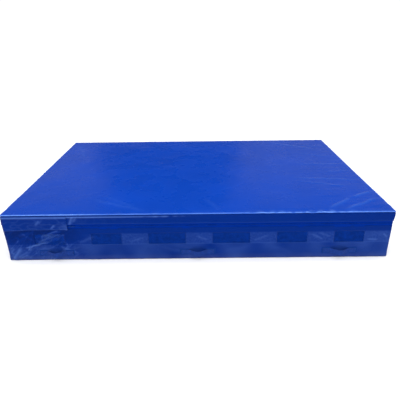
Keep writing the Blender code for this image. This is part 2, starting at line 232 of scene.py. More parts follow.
def ripple_along(u, scale, seed):
    """The same, along u only."""
    return ripple(u, 0.0 * u, scale, seed)


def folds(u, v, scale, seed, sharpness=0.28):
    """Thin ridges with flat sheet between them, as in creased PVC."""
    return np.exp(-np.abs(ripple(u, v, scale, seed)) / sharpness)


def crease(u, v, start, end, height, width):
    """A ridge between two points, steeper on one side, that fades at its ends."""
    du, dv = end[0] - start[0], end[1] - start[1]
    length = math.hypot(du, dv)
    bent_v = v + 0.25 * width * np.sin(u * 2.0 * math.pi / 0.17 + start[0] * 9.0)
    t = ((u - start[0]) * du + (bent_v - start[1]) * dv) / length**2
    across = ((u - start[0]) * dv - (bent_v - start[1]) * du) / length
    reach = np.where(across > 0.0, width, 0.55 * width)
    fade = smoothstep(0.0, 0.3, t) * (1.0 - smoothstep(0.75, 1.0, t))
    return height * fade * np.exp(-((across / reach) ** 2))


def outline(side, u):
    """Points of the mat's nominal outline in the wall's frame, and the outward directions there."""
    flat = side.half_span - CORNER
    turn = np.clip((u - flat) / CORNER, 0.0, 0.5 * math.pi)
    x = np.minimum(u, flat) + CORNER * np.sin(turn)
    y = CORNER - side.reach - CORNER * np.cos(turn)
    return x, y, np.sin(turn), -np.cos(turn)


def corner_lean(x, y, z):
    """How far along X the soft front corners stand out, most at the height of the skirt. On the
    right wall only what is above the zip does, so that the slider's way stays straight."""
    share = smoothstep(LEAN_START_X, HALF_LENGTH, np.abs(x))
    share = share * (1.0 - smoothstep(-HALF_WIDTH, LEAN_END_Y, y))
    left = -LEAN_LEFT * hump(z, LEAN_LEFT_HEIGHT, LEAN_LEFT_SPREAD)
    right = LEAN_RIGHT * smoothstep(LEAN_RIGHT_LOW, LEAN_RIGHT_FULL, z)
    right = right * hump(z, LEAN_RIGHT_HEIGHT, LEAN_RIGHT_SPREAD)
    return share * np.where(x > 0.0, right, left)


def place(side, u, out, z):
    """Points in the mat's frame, from a wall's u, out and z."""
    u, out, z = np.broadcast_arrays(*(np.asarray(a, float) for a in (u, out, z)))
    x, y, nx, ny = outline(side, u)
    x, y = x + out * nx, y + out * ny
    c, s = math.cos(side.angle), math.sin(side.angle)
    mat_x, mat_y = c * x - s * y, s * x + c * y
    return np.stack([mat_x + corner_lean(mat_x, mat_y, z), mat_y, z], axis=-1)


def lines(low, high, spacing, extra=()):
    """Grid lines from low to high, about a spacing apart, that pass through the extra places."""
    stops = sorted({low, high, *[e for e in extra if low < e < high]})
    found = [low]
    for start, end in zip(stops, stops[1:]):
        steps = max(1, round((end - start) / spacing))
        found += list(np.linspace(start, end, steps + 1)[1:])
    return np.array(found)


def wall_end(side):
    """Where u ends, round the corner at the wall's right end."""
    return side.half_span - CORNER + 0.5 * math.pi * CORNER


def u_round(side, straight_steps, corner_steps):
    """Places along a wall and round its corner, without the last, which is the next wall's first."""
    flat = side.half_span - CORNER
    straight = np.linspace(-flat, flat, straight_steps + 1)[:-1]
    corner = np.linspace(flat, wall_end(side), corner_steps + 1)[:-1]
    return np.concatenate([straight, corner])


def vent_spans(side):
    """The windows' left and right ends along a wall."""
    left = side.vent_shift - (sum(side.vents) + VENT_BRIDGE * (len(side.vents) - 1)) / 2
    spans = []
    for width in side.vents:
        spans.append((left, left + width))
        left += width + VENT_BRIDGE
    return spans


def corner_fade(side, u):
    """1 along a wall, 0 at its two corners."""
    return smoothstep(0.0, CORNER_FADE, side.half_span - np.abs(u))


def left_end(u):
    """1 on the front wall's dragged and creased left end, 0 past it."""
    return 1.0 - smoothstep(-1.12, -0.80, u)


def wall_relief(side, u, z):
    """How far the wall bulges outwards: a soft belly, slack waves and pressed creases."""
    belly = 0.0035 * hump(z, 0.13, 0.06) - 0.0010 * hump(z, 0.255, 0.03)
    slack = 0.0008 * ripple(u, 0.5 * z, 0.35, side.seed)
    slack = slack + 0.0004 * ripple(u, z, 0.09, side.seed + 1)
    if side is FRONT:
        worn = 1.0 - smoothstep(-1.15, -0.70, u)
    else:
        worn = smoothstep(0.55, 0.95, ripple_along(u, 1.3, side.seed + 2) * 0.5 + 0.5)
    crumple = 0.0011 * folds(u, z, 0.11, side.seed + 3) + 0.0005 * folds(u, z, 0.05, side.seed + 4)
    bridges = smoothstep(VENT_LOW - 0.01, VENT_LOW + 0.02, z) * (1.0 - smoothstep(0.21, 0.24, z))
    slanted = 0.0011 * worn * slanted_folds(side, u, z)
    crumpled = crumple * (0.35 + 0.9 * worn + 0.5 * bridges)
    return corner_fade(side, u) * (belly + slack + pressed_creases(side, u, z) + slanted + crumpled)


def pressed_creases(side, u, z):
    """A wall's creases: the front wall's own list, and random ones on the others."""
    if side is FRONT:
        return sum(crease(u, z, *c) for c in FRONT_CREASES)
    return random_creases(side, u, z)


def random_creases(side, u, z):
    """Diagonal creases at random places."""
    rng = np.random.default_rng(side.seed + 9)
    total = np.zeros(np.broadcast(u, z).shape)
    for _ in range(round(9 * side.half_span)):
        u0 = rng.uniform(-side.half_span + 0.05, side.half_span - 0.2)
        z0 = rng.uniform(0.02, 0.20)
        run = rng.uniform(0.06, 0.18)
        rise = rng.uniform(-0.07, 0.09)
        height = rng.uniform(0.0012, 0.0034)
        width = rng.uniform(0.008, 0.018)
        total = total + crease(u, z, (u0, z0), (u0 + run, z0 + rise), height, width)
    return total


def handle_flat(side, u, z):
    """Low round the handles' sewn ends, where the sheet lies flat under them, and 1 elsewhere."""
    keep = np.ones(np.broadcast(u, z).shape)
    for handle in HANDLES:
        if handle.side is side:
            beside = np.abs(u - handle.u) - 0.15
            above = 3.0 * (np.abs(z - HANDLE_HEIGHT) - 0.03)
            away = np.maximum(beside, above)
            keep = keep * (0.25 + 0.75 * smoothstep(0.0, 0.05, away))
    return keep


def wall_out(side, u, z):
    """The wall sheet's outer face, which spreads a little at its foot under the foam's weight."""
    spread = FOOT_SPREAD * (1.0 - smoothstep(0.0, 0.075, z)) * handle_flat(side, u, z)
    return WALL_OUT + spread + wall_relief(side, u, z) * handle_flat(side, u, z)


def slanted_folds(side, u, z):
    """Long thin ridges that run up to the right, as where a cover is dragged by one corner."""
    along = 0.77 * u + 0.64 * z
    across = 0.77 * z - 0.64 * u
    wide = folds(0.30 * along, across, 0.075, side.seed + 48, 0.22)
    return wide + 0.7 * folds(0.25 * along, across, 0.035, side.seed + 49, 0.2)


def fold_painted_highlight(side, u, z):
    """Painted highlights along the ridges of pressed creases and dragged folds."""
    dragged = left_end(u) if side is FRONT else 0.25
    slanted = 0.26 * dragged * slanted_folds(side, u, z) ** 1.5
    return corner_fade(side, u) * (90.0 * pressed_creases(side, u, z) + slanted)


def wall_painted_light(side, u, z):
    """Painted light and shade on a wall: highlights on the strips between windows, the lower band, the
    sills, the ends and the crease ridges, and shade on the front wall's left end.
    """
    low_edge = smoothstep(VENT_LOW - VENT_EDGE, VENT_LOW + VENT_EDGE, z)
    inside = low_edge * (1.0 - smoothstep(VENT_HIGH - VENT_EDGE, VENT_HIGH + VENT_EDGE, z))
    crumple = folds(u, 1.6 * z, 0.045, side.seed + 40) + 0.6 * folds(u, z, 0.022, side.seed + 41)
    grain = ripple(u, z, 0.016, side.seed + 47)
    # The strips between windows, the lower band, the ends and the sill get painted highlights; shaded
    # is painted shade on the front wall's left end.
    bridges = inside * (0.09 + 0.10 * crumple + 0.02 * grain)
    lower = (0.10 + 0.04 * ripple(u, z, 0.22, side.seed + 42)) * (1.0 - low_edge)
    ends = 0.06 * smoothstep(0.0, 0.5, np.abs(u) - side.half_span + 0.5)
    ends = ends * (1.0 - smoothstep(0.20, 0.26, z))
    sill = 0.14 * hump(z, VENT_LOW - 0.001, 0.003)
    shaded = 0.0
    if side is FRONT:
        bridges = bridges * (0.10 + 0.90 * smoothstep(-1.20, -0.95, u))
        bridges = bridges * (0.45 + 0.55 * smoothstep(-0.85, -0.70, u))
        bridges = bridges + 0.02 * inside * smoothstep(1.2, 1.3, u)
        shaded = -0.34 * left_end(u) * smoothstep(0.10, 0.20, z)
    return bridges + lower + ends + sill + shaded + fold_painted_highlight(side, u, z)


# ---------------------------------------------------------------- meshes


def grid_faces(rows, columns, closed=False, skip=None):
    """Quads of a grid whose points are listed row by row."""
    faces = []
    last = columns if closed else columns - 1
    for i in range(rows - 1):
        for j in range(last):
            if skip is not None and skip[i, j]:
                continue
            k = (j + 1) % columns
            low, high = i * columns, (i + 1) * columns
            faces.append((low + j, low + k, high + k, high + j))
    return faces


def mesh_from(name, points, faces, cloth=None, tone=None, smooth=True):
    """A mesh object. cloth gives each point's place on the flat sheet, in metres, for its weave,
    and the painted-light values how much painted highlight (above 0) or painted shade (below 0) its
    colour gets there."""
    mesh = bpy.data.meshes.new(name)
    mesh.from_pydata(np.asarray(points, float).reshape(-1, 3).tolist(), [], faces)
    if cloth is not None:
        flat = np.asarray(cloth, float).reshape(-1, 2)
        corners = np.empty(len(mesh.loops), dtype=np.int64)
        mesh.loops.foreach_get("vertex_index", corners)
        layer = mesh.uv_layers.new(name="cloth")
        layer.data.foreach_set("uv", flat[corners].astype(np.float32).ravel())
    if tone is not None:
        shade = mesh.attributes.new("tone", "FLOAT", "POINT")
        shade.data.foreach_set("value", np.asarray(tone, np.float32).ravel())
    mesh.update()
    if smooth:
        mesh.shade_smooth()
    obj = bpy.data.objects.new(name, mesh)
    bpy.context.scene.collection.objects.link(obj)
    return obj


def drop_loose_points(obj):
    shape = bmesh.new()
    shape.from_mesh(obj.data)
    loose = [v for v in shape.verts if not v.link_faces]
    bmesh.ops.delete(shape, geom=loose, context="VERTS")
    shape.to_mesh(obj.data)
    shape.free()


def thicken(obj, thickness=SHEET):
    """Give a sheet its thickness, inwards from its outer face."""
    solidify = obj.modifiers.new("thickness", "SOLIDIFY")
    solidify.thickness = thickness
    solidify.offset = -1.0


def dress(obj, material, body, slot, nodes=()):
    """Give a piece its material, the body that it moves with and the CAD nodes that it stands for."""
    obj.data.materials.clear()
    obj.data.materials.append(material)
    if body:
        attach(obj, body)
    if nodes:
        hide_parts(*nodes)


def wall_grid(name, side, u, z, out, tone=None, skip=None):
    """A sheet on a wall over a grid of u and z."""
    faces = grid_faces(*u.shape, skip=skip)
    return mesh_from(name, place(side, u, out, z), faces, np.stack([u, z], axis=-1), tone)


def ring_grid(rows, u_lines, shape, tone, cloth_scale=1.0):
    """Points, cloth places and painted light of a sheet that goes right round the mat. u_lines gives
    each wall's places, shape the out and z, and the painted-light function the painted highlight or
    shade, at a side, a u and a row's value."""
    points, cloth, painted_lights, start = [], [], [], 0.0
    for side in SIDES:
        first = CORNER - side.half_span
        u, row = np.meshgrid(u_lines(side), rows)
        out, z = shape(side, u, row)
        points.append(place(side, u, out, z))
        cloth.append(np.stack([u - first + start, row * cloth_scale], axis=-1))
        painted_lights.append(tone(side, u, row))
        start += wall_end(side) - first
    return tuple(np.concatenate(part, axis=1) for part in (points, cloth, painted_lights))


# ---------------------------------------------------------------- materials


WHITE = (1.0, 1.0, 1.0, 1.0)
PAINTED_SHADE_BLACK = (0.0, 0.0, 0.0, 1.0)
GLOSS_TINT = (0.34, 0.60, 1.0, 1.0)
TOP_GLOSS_TINT = (0.42, 0.95, 0.90, 1.0)
# Blue that painted highlights and scuffs mix towards on the walls, skirt, flaps, patches and net.
WALL_HIGHLIGHT_AND_SCUFF = (0.058, 0.128, 0.410)
DUST = (0.11, 0.12, 0.15, 1.0)
WAVE_TO_PITCH = 0.314159
SCRIM_PITCH = 0.0011
RIB_PITCH = 0.0016
CORD_PITCH = 0.0024
TWILL_PITCH = 0.0012
DIMPLE_PITCH = 0.008


class Shader:
    """A node material with a Principled BSDF, and short calls to add nodes to it."""

    def __init__(self, name):
        self.material = bpy.data.materials.new(name)
        self.material.use_nodes = True
        self.tree = self.material.node_tree
        self.surface = self.tree.nodes["Principled BSDF"]

    def node(self, kind, inputs=None, **settings):
        made = self.tree.nodes.new(kind)
        for name, value in settings.items():
            setattr(made, name, value)
        for name, value in (inputs or {}).items():
            self.set(made.inputs[name], value)
        return made

    def set(self, socket, value):
        if isinstance(value, bpy.types.NodeSocket):
            self.tree.links.new(value, socket)
        else:
            socket.default_value = value

    def put(self, **values):
        for name, value in values.items():
            self.set(self.surface.inputs[name.replace("_", " ")], value)

    def gloss(self, level, tint=WHITE):
        self.surface.inputs["Specular IOR Level"].default_value = level
        self.surface.inputs["Specular Tint"].default_value = tint

    def math(self, operation, a, b=0.0):
        made = self.node("ShaderNodeMath", operation=operation)
        self.set(made.inputs[0], a)
        self.set(made.inputs[1], b)
        return made.outputs[0]

    def spot(self):
        return self.node("ShaderNodeTexCoord").outputs["Object"]

    def cloth(self):
        return self.node("ShaderNodeUVMap", uv_map="cloth").outputs["UV"]

    def noise(self, scale, detail=3.0, roughness=0.5):
        inputs = {"Scale": scale, "Detail": detail, "Roughness": roughness, "Vector": self.spot()}
        return self.node("ShaderNodeTexNoise", inputs).outputs["Fac"]

    # The mesh's painted highlight and shade, point by point.
    def tone(self):
        return self.node("ShaderNodeAttribute", attribute_name="tone").outputs["Fac"]

    def span(self, value, low, high, to_low=0.0, to_high=1.0):
        ends = {"From Min": low, "From Max": high, "To Min": to_low, "To Max": to_high}
        return self.node("ShaderNodeMapRange", {"Value": value, **ends}).outputs["Result"]

    def cloudy(self, scale, detail, to_low=0.0, to_high=1.0):
        """Soft patches, from the middle part of a noise."""
        return self.span(self.noise(scale, detail), 0.3, 0.7, to_low, to_high)

    def mix(self, factor, first, second):
        made = self.node("ShaderNodeMix", data_type="RGBA")
        self.set(made.inputs[0], factor)
        self.set(made.inputs[6], first)
        self.set(made.inputs[7], second)
        return made.outputs[2]

    def waves(self, vector, direction, pitch):
        """Even bands, pitch metres apart."""
        inputs = {"Vector": vector, "Scale": WAVE_TO_PITCH / pitch, "Distortion": 0.0}
        settings = {"wave_type": "BANDS", "bands_direction": direction}
        return self.node("ShaderNodeTexWave", inputs, **settings).outputs["Fac"]

    def grid(self, vector, warp_pitch, weft_pitch):
        """Bands both ways, as of woven threads."""
        warp = self.waves(vector, "X", warp_pitch)
        return self.math("MULTIPLY", warp, self.waves(vector, "Y", weft_pitch))

    def bump(self, height, distance, under=None):
        inputs = {"Height": height, "Distance": distance, "Strength": 1.0}
        if under is not None:
            inputs["Normal"] = under
        return self.node("ShaderNodeBump", inputs).outputs["Normal"]


def tinted(colour, factor=1.0):
    return (*[min(1.0, c * factor) for c in colour], 1.0)


def pvc(name, colour, pale, roughness, specular, grime=0.0, gloss=GLOSS_TINT):
    """Coated cover sheet: a soft gloss over a faint scrim, with scuffs, cloudy colour, and painted
    highlights and shade from the mesh.
    """
    shader = Shader(name)
    base = shader.mix(shader.cloudy(2.3, 4.0), tinted(colour, 0.94), tinted(colour, 1.06))
    scuffs = shader.span(shader.noise(90.0, 6.0, roughness=0.7), 0.62, 0.80, 0.0, 0.10)
    base = shader.mix(scuffs, base, tinted(pale))
    # Painted light: the mesh's per-point value mixes in the pale blue as a painted highlight above 0,
    # and black as painted shade below 0.
    tone = shader.tone()
    base = shader.mix(shader.span(tone, 0.0, 1.0), base, tinted(pale))
    base = shader.mix(shader.span(tone, 0.0, -1.0), base, PAINTED_SHADE_BLACK)
    if grime:
        height = shader.node("ShaderNodeSeparateXYZ", {"Vector": shader.spot()}).outputs["Z"]
        low = shader.span(height, 0.0, 0.05, grime, 0.0)
        base = shader.mix(shader.math("MULTIPLY", low, shader.noise(14.0, 5.0)), base, DUST)
    haze = shader.cloudy(5.0, 3.0, roughness - 0.04, roughness + 0.04)
    peel = shader.bump(shader.noise(420.0, 2.0), 0.00004)
    scrim = shader.bump(shader.grid(shader.cloth(), SCRIM_PITCH, SCRIM_PITCH), 0.00003, peel)
    shader.put(Base_Color=base, Roughness=haze, Normal=scrim)
    shader.gloss(specular, gloss)
    return shader.material


def webbing(name, colour):
    """Heavy woven strap: cross ribs and lengthwise cords, slightly fuzzy."""
    shader = Shader(name)
    height = shader.grid(shader.cloth(), RIB_PITCH, CORD_PITCH)
    # Darker in the weave's grooves and paler on its ribs: painted shade and highlight.
    base = shader.mix(height, tinted(colour, 0.62), tinted(colour, 1.25))
    worn = shader.span(shader.noise(60.0, 4.0), 0.5, 0.8, 0.0, 0.3)
    fuzz = shader.bump(shader.noise(900.0, 2.0), 0.0001)
    shader.put(Base_Color=shader.mix(worn, base, tinted(colour, 1.9)), Roughness=0.72)
    shader.put(Normal=shader.bump(height, 0.0004, fuzz))
    shader.gloss(0.15)
    return shader.material


def tape_cloth(name, colour):
    """The zip's woven tape: fine twill."""
    shader = Shader(name)
    turn = {"Vector": shader.cloth(), "Rotation": (0.0, 0.0, 0.6)}
    turned = shader.node("ShaderNodeMapping", turn).outputs["Vector"]
    twill = shader.waves(turned, "X", TWILL_PITCH)
    # Paler and darker with the twill's relief: painted highlight and shade.
    base = shader.mix(twill, tinted(colour, 0.8), tinted(colour, 1.15))
    shader.put(Base_Color=base, Roughness=0.8, Normal=shader.bump(twill, 0.0002))
    shader.gloss(0.03, GLOSS_TINT)
    return shader.material


def net_thread(name, colour):
    """Coated polyester threads of the vent mesh."""
    shader = Shader(name)
    base = shader.mix(shader.cloudy(30.0, 3.0), tinted(colour, 0.8), tinted(colour, 1.2))
    # Paler by the mesh's per-point value: painted highlight along the wall's folds.
    base = shader.mix(shader.span(shader.tone(), 0.0, 1.0), base, tinted(WALL_HIGHLIGHT_AND_SCUFF))
    shader.put(Base_Color=base, Roughness=0.6, Normal=shader.bump(shader.noise(1500.0, 2.0), 0.0001))
    shader.gloss(0.05, GLOSS_TINT)
    return shader.material


def enamel(name, colour):
    """Painted zinc of the sliders and stops, rubbed brighter in places."""
    shader = Shader(name)
    rubbed = shader.span(shader.noise(160.0, 5.0), 0.62, 0.74, 0.0, 0.45)
    shader.put(Base_Color=shader.mix(rubbed, tinted(colour), (0.05, 0.09, 0.24, 1.0)))
    shader.put(Metallic=shader.span(rubbed, 0.0, 0.45, 0.0, 0.7))
    shader.put(Roughness=shader.cloudy(300.0, 3.0, 0.22, 0.42))
    shader.put(Normal=shader.bump(shader.noise(700.0, 3.0), 0.00006))
    shader.gloss(0.15, GLOSS_TINT)
    return shader.material


def nylon(name, colour):
    """The zip's coil: smooth monofilament."""
    shader = Shader(name)
    base = shader.mix(shader.cloudy(80.0, 2.0), tinted(colour, 0.85), tinted(colour, 1.2))
    shader.put(Base_Color=base, Roughness=0.38)
    shader.gloss(0.08, GLOSS_TINT)
    return shader.material


def thread(name, colour):
    """Twisted sewing thread."""
    shader = Shader(name)
    twist = shader.noise(2500.0, 2.0)
    base = shader.mix(twist, tinted(colour, 0.7), tinted(colour, 1.3))
    shader.put(Base_Color=base, Roughness=0.65, Normal=shader.bump(twist, 0.0001))
    shader.gloss(0.05, GLOSS_TINT)
    return shader.material


def foam(name, colour):
    """Open-cell foam: pores in relief, with painted shade darkening them."""
    shader = Shader(name)
    cells = shader.node("ShaderNodeTexVoronoi", {"Vector": shader.spot(), "Scale": 700.0})
    pores = cells.outputs["Distance"]
    # Darker with the pores' depth value: painted shade.
    depth = shader.math("MULTIPLY", pores, shader.cloudy(9.0, 4.0, 0.9, 1.1))
    base = shader.mix(depth, tinted(colour, 1.1), tinted(colour, 0.5))
    shader.put(Base_Color=base, Roughness=0.95, Normal=shader.bump(pores, 0.0008))
    shader.gloss(0.1)
    return shader.material


def anti_slip(name, colour):
    """The underside's sheet: raised dimples in a fine grid."""
    shader = Shader(name)
    dots = shader.grid(shader.spot(), DIMPLE_PITCH, DIMPLE_PITCH)
    worn = shader.span(shader.noise(4.0, 5.0), 0.4, 0.7, 0.0, 0.4)
    # Paler on the raised dimples and darker between them: painted highlight and shade.
    base = shader.mix(dots, tinted(colour, 0.8), tinted(colour, 1.3))
    shader.put(Base_Color=shader.mix(worn, base, (0.09, 0.09, 0.10, 1.0)), Roughness=0.75)
    shader.put(Normal=shader.bump(dots, 0.0012))
    return shader.material


def studio_floor(name):
    """Matt white paint."""
    shader = Shader(name)
    base = shader.mix(shader.cloudy(1.2, 2.0), (0.92, 0.92, 0.925, 1.0), (0.94, 0.94, 0.945, 1.0))
    shader.put(Base_Color=base, Roughness=0.9)
    shader.gloss(0.0)
    return shader.material


# The same pale blues for painted highlights and scuffs, on the top and on the edge bead.
TOP_HIGHLIGHT_AND_SCUFF = (0.058, 0.170, 0.560)
BEAD_HIGHLIGHT_AND_SCUFF = (0.16, 0.32, 0.80)
# The skirt, wall, flap and patch blues are under half the top's: painted shade, as they are the same
# PVC as the top. The bead's paler blue is a painted highlight.
MATERIALS = {
    "top": pvc("top_pvc", (0.0004, 0.0400, 0.352), TOP_HIGHLIGHT_AND_SCUFF, 0.28, 0.08, gloss=TOP_GLOSS_TINT),
    "piping": pvc("piping_pvc", (0.004, 0.055, 0.400), BEAD_HIGHLIGHT_AND_SCUFF, 0.24, 0.30),
    "skirt": pvc("skirt_pvc_painted_shade", (0.0003, 0.0160, 0.162), WALL_HIGHLIGHT_AND_SCUFF, 0.28, 0.06),
    "wall": pvc("wall_pvc_painted_shade", (0.0005, 0.0165, 0.160), WALL_HIGHLIGHT_AND_SCUFF, 0.30, 0.06, grime=0.3),
    "flap": pvc("flap_pvc_painted_shade", (0.0005, 0.0165, 0.162), WALL_HIGHLIGHT_AND_SCUFF, 0.30, 0.07),
    "patch": pvc("patch_pvc_painted_shade", (0.003, 0.027, 0.180), WALL_HIGHLIGHT_AND_SCUFF, 0.36, 0.07),
    "net": net_thread("net_thread", (0.001, 0.0235, 0.208)),
    "tape": tape_cloth("zip_tape_cloth", (0.0002, 0.0200, 0.222)),
    "coil": nylon("coil_nylon", (0.001, 0.0225, 0.220)),
    "enamel": enamel("slider_enamel", (0.001, 0.020, 0.160)),
    "webbing": webbing("strap_webbing", (0.005, 0.036, 0.238)),
    "thread": thread("stitch_thread", (0.008, 0.060, 0.340)),
    "foam": foam("foam_soft", (0.012, 0.026, 0.110)),
    "firm_foam": foam("foam_firm", (0.010, 0.020, 0.070)),
    "base": anti_slip("base_sheet", (0.012, 0.028, 0.120)),
}


# ---------------------------------------------------------------- camera, light and floor

CAMERA_PLACE = (0.036, -3.657, 1.706)
CAMERA_PITCH = 0.4229
CAMERA_ROLL = -0.0132
CAMERA_YAW = 0.0053
CAMERA_LENS = 35.23
SENSOR_WIDTH = 36.0
FLOOR_SIZE = 60.0
FLOOR_DROP = 0.0004


def make_camera():
    camera = bpy.data.objects.new("camera", bpy.data.cameras.new("camera"))
    bpy.context.scene.collection.objects.link(camera)
    camera.data.lens = CAMERA_LENS
    camera.data.sensor_width = SENSOR_WIDTH
    camera.matrix_world = (
        Matrix.Translation(CAMERA_PLACE)
        @ Matrix.Rotation(CAMERA_YAW, 4, "Z")
        @ Matrix.Rotation(0.5 * math.pi - CAMERA_PITCH, 4, "X")
        @ Matrix.Rotation(CAMERA_ROLL, 4, "Z")
    )
    bpy.context.scene.camera = camera


# Name, place, target, size and energy
LIGHTS = (
    ("overhead", (0.0, -0.8, 4.2), (0.0, 0.0, 0.0), (5.0, 2.0), 50.0),
    ("front_strip", (0.3, -6.0, 2.7), (0.0, -1.0, 0.2), (4.5, 0.4), 90.0),
    ("left_card", (-5.4, 7.5, 3.6), (-5.4, 0.0, 2.6), (4.8, 3.0), 20.0),
    ("right_card", (4.6, 7.5, 3.6), (4.6, 0.0, 2.6), (7.0, 3.0), 32.0),
)


def make_area_light(name, location, target, size, energy):
    light = bpy.data.lights.new(name, "AREA")
    light.shape = "RECTANGLE"
    light.size, light.size_y = size
    light.energy = energy
    obj = bpy.data.objects.new(name, light)
    bpy.context.scene.collection.objects.link(obj)
    obj.location = location
    obj.rotation_euler = (Vector(target) - Vector(location)).to_track_quat("-Z", "Y").to_euler()


# The sky's levels of light as (height, level) pairs: behind the mat, and elsewhere
SKY_STRENGTH = 1.60
SKY_BEHIND_FROM = 0.45
SKY_BEHIND_FULL = 0.75
SKY_BEHIND = ((0.0, 0.66), (0.06, 0.66), (0.13, 0.02), (0.52, 0.02), (0.70, 1.0), (1.0, 1.0))
SKY_ELSEWHERE = ((0.0, 0.66), (0.30, 0.66), (0.40, 0.40), (0.52, 0.40), (0.70, 1.0), (1.0, 1.0))


def add_ramp(tree, levels, value):
    """A colour ramp over the sky's height, from its (height, level) pairs."""
    ramp = tree.nodes.new("ShaderNodeValToRGB")
    stops = ramp.color_ramp.elements
    stops[0].position = levels[0][0]
    stops[1].position = levels[-1][0]
    for height, _ in levels[1:-1]:
        stops.new(height)
    for stop, (_, level) in zip(stops, levels):
        stop.color = (level, level, level, 1.0)
    tree.links.new(value, ramp.inputs["Fac"])
    return ramp.outputs["Color"]


def make_world():
    """Pale round the horizon and bright overhead, with a dark band between for the top to mirror."""
    world = bpy.data.worlds.new("studio")
    bpy.context.scene.world = world
    world.use_nodes = True
    tree = world.node_tree
    split = tree.nodes.new("ShaderNodeSeparateXYZ")
    tree.links.new(tree.nodes.new("ShaderNodeTexCoord").outputs["Generated"], split.inputs["Vector"])
    side = tree.nodes.new("ShaderNodeMapRange")
    side.inputs["From Min"].default_value = SKY_BEHIND_FROM
    side.inputs["From Max"].default_value = SKY_BEHIND_FULL
    tree.links.new(split.outputs["Y"], side.inputs["Value"])
    blend = tree.nodes.new("ShaderNodeMix")
    blend.data_type = "RGBA"
    tree.links.new(side.outputs["Result"], blend.inputs[0])
    tree.links.new(add_ramp(tree, SKY_ELSEWHERE, split.outputs["Z"]), blend.inputs[6])
    tree.links.new(add_ramp(tree, SKY_BEHIND, split.outputs["Z"]), blend.inputs[7])
    tree.links.new(blend.outputs[2], tree.nodes["Background"].inputs["Color"])
    tree.nodes["Background"].inputs["Strength"].default_value = SKY_STRENGTH


def make_floor():
    bpy.ops.mesh.primitive_grid_add(x_subdivisions=4, y_subdivisions=4, size=FLOOR_SIZE)
    floor = bpy.context.object
    floor.name = "studio_floor"
    floor.location.z = -FLOOR_DROP
    floor.data.materials.append(studio_floor("floor_paint"))


# ---------------------------------------------------------------- the top and its edge

RIM = 0.0095
RIM_FINE = (0.016, 0.024, 0.04, 0.07)
RIM_RINGS = ((0.0012, 0.0007), (0.0020, 0.0022), (0.0022, 0.0050), (0.0010, 0.0075))
PIPING_RADIUS = 0.0052
PIPING_DROP = 0.0004
PIPING_FACETS = 12
RING_SPACING = 0.007
TOP_SPACING_X = 0.014
TOP_SPACING_Y = 0.011
TOP_FINE_SPACING = 0.008
TOP_FINE_FROM = 0.75
TOP_FINE_STOPS = (0.7, 0.9)


def top_relief(x, y):
    """The top's height above its nominal plane: slow waves, creases and pinches along the edges."""
    inset = np.minimum(HALF_LENGTH - np.abs(x), HALF_WIDTH - np.abs(y))
    calm = smoothstep(0.0, 0.07, inset)
    crown = 0.0014 + 0.0036 * smoothstep(0.0, 0.35, inset)
    waves = 0.0010 * ripple(x, y, 0.60, 3) + 0.0003 * ripple(x, y, 0.18, 4)
    streaks = 0.0004 * ripple(0.25 * x, y, 0.07, 5) * smoothstep(0.6, 1.3, x)
    mottle = 0.00005 * ripple(x, y, 0.05, 6)
    creased = sum(crease(x, y, *c) for c in TOP_CREASES)
    ends = smoothstep(0.0, 0.02, inset)
    return calm * (crown + waves + streaks + mottle) + ends * creased + edge_pinches(x, y)


def edge_pinches(x, y):
    """Short gathers that run in from the seam, close together where the cover pulls."""
    puckers = 0.0
    for edge, along, pull in (
        (HALF_WIDTH + y, x, 0.25 + smoothstep(0.2, 0.5, x) * (1.0 - smoothstep(1.0, 1.3, x))),
        (HALF_LENGTH - x, y, 0.5),
        (HALF_WIDTH - y, x, 0.3),
        (HALF_LENGTH + x, y, 0.25),
    ):
        strength = hump(edge, 0.0, 0.028) * pull
        puckers = puckers + 0.0011 * strength * ripple(along, 0.35 * edge, 0.085, 8)
    return puckers


def top_painted_highlight(x, y):
    """Painted highlights along the ridges of the creases, on the gathers and along the front edge."""
    ridges = sum(crease(x, y, *c) for c in TOP_CREASES)
    puckers = np.maximum(edge_pinches(x, y), 0.0)
    margin = 0.16 * hump(HALF_WIDTH + y, 0.0, 0.022) * smoothstep(0.15, 0.60, x)
    return 55.0 * ridges + 150.0 * puckers + margin


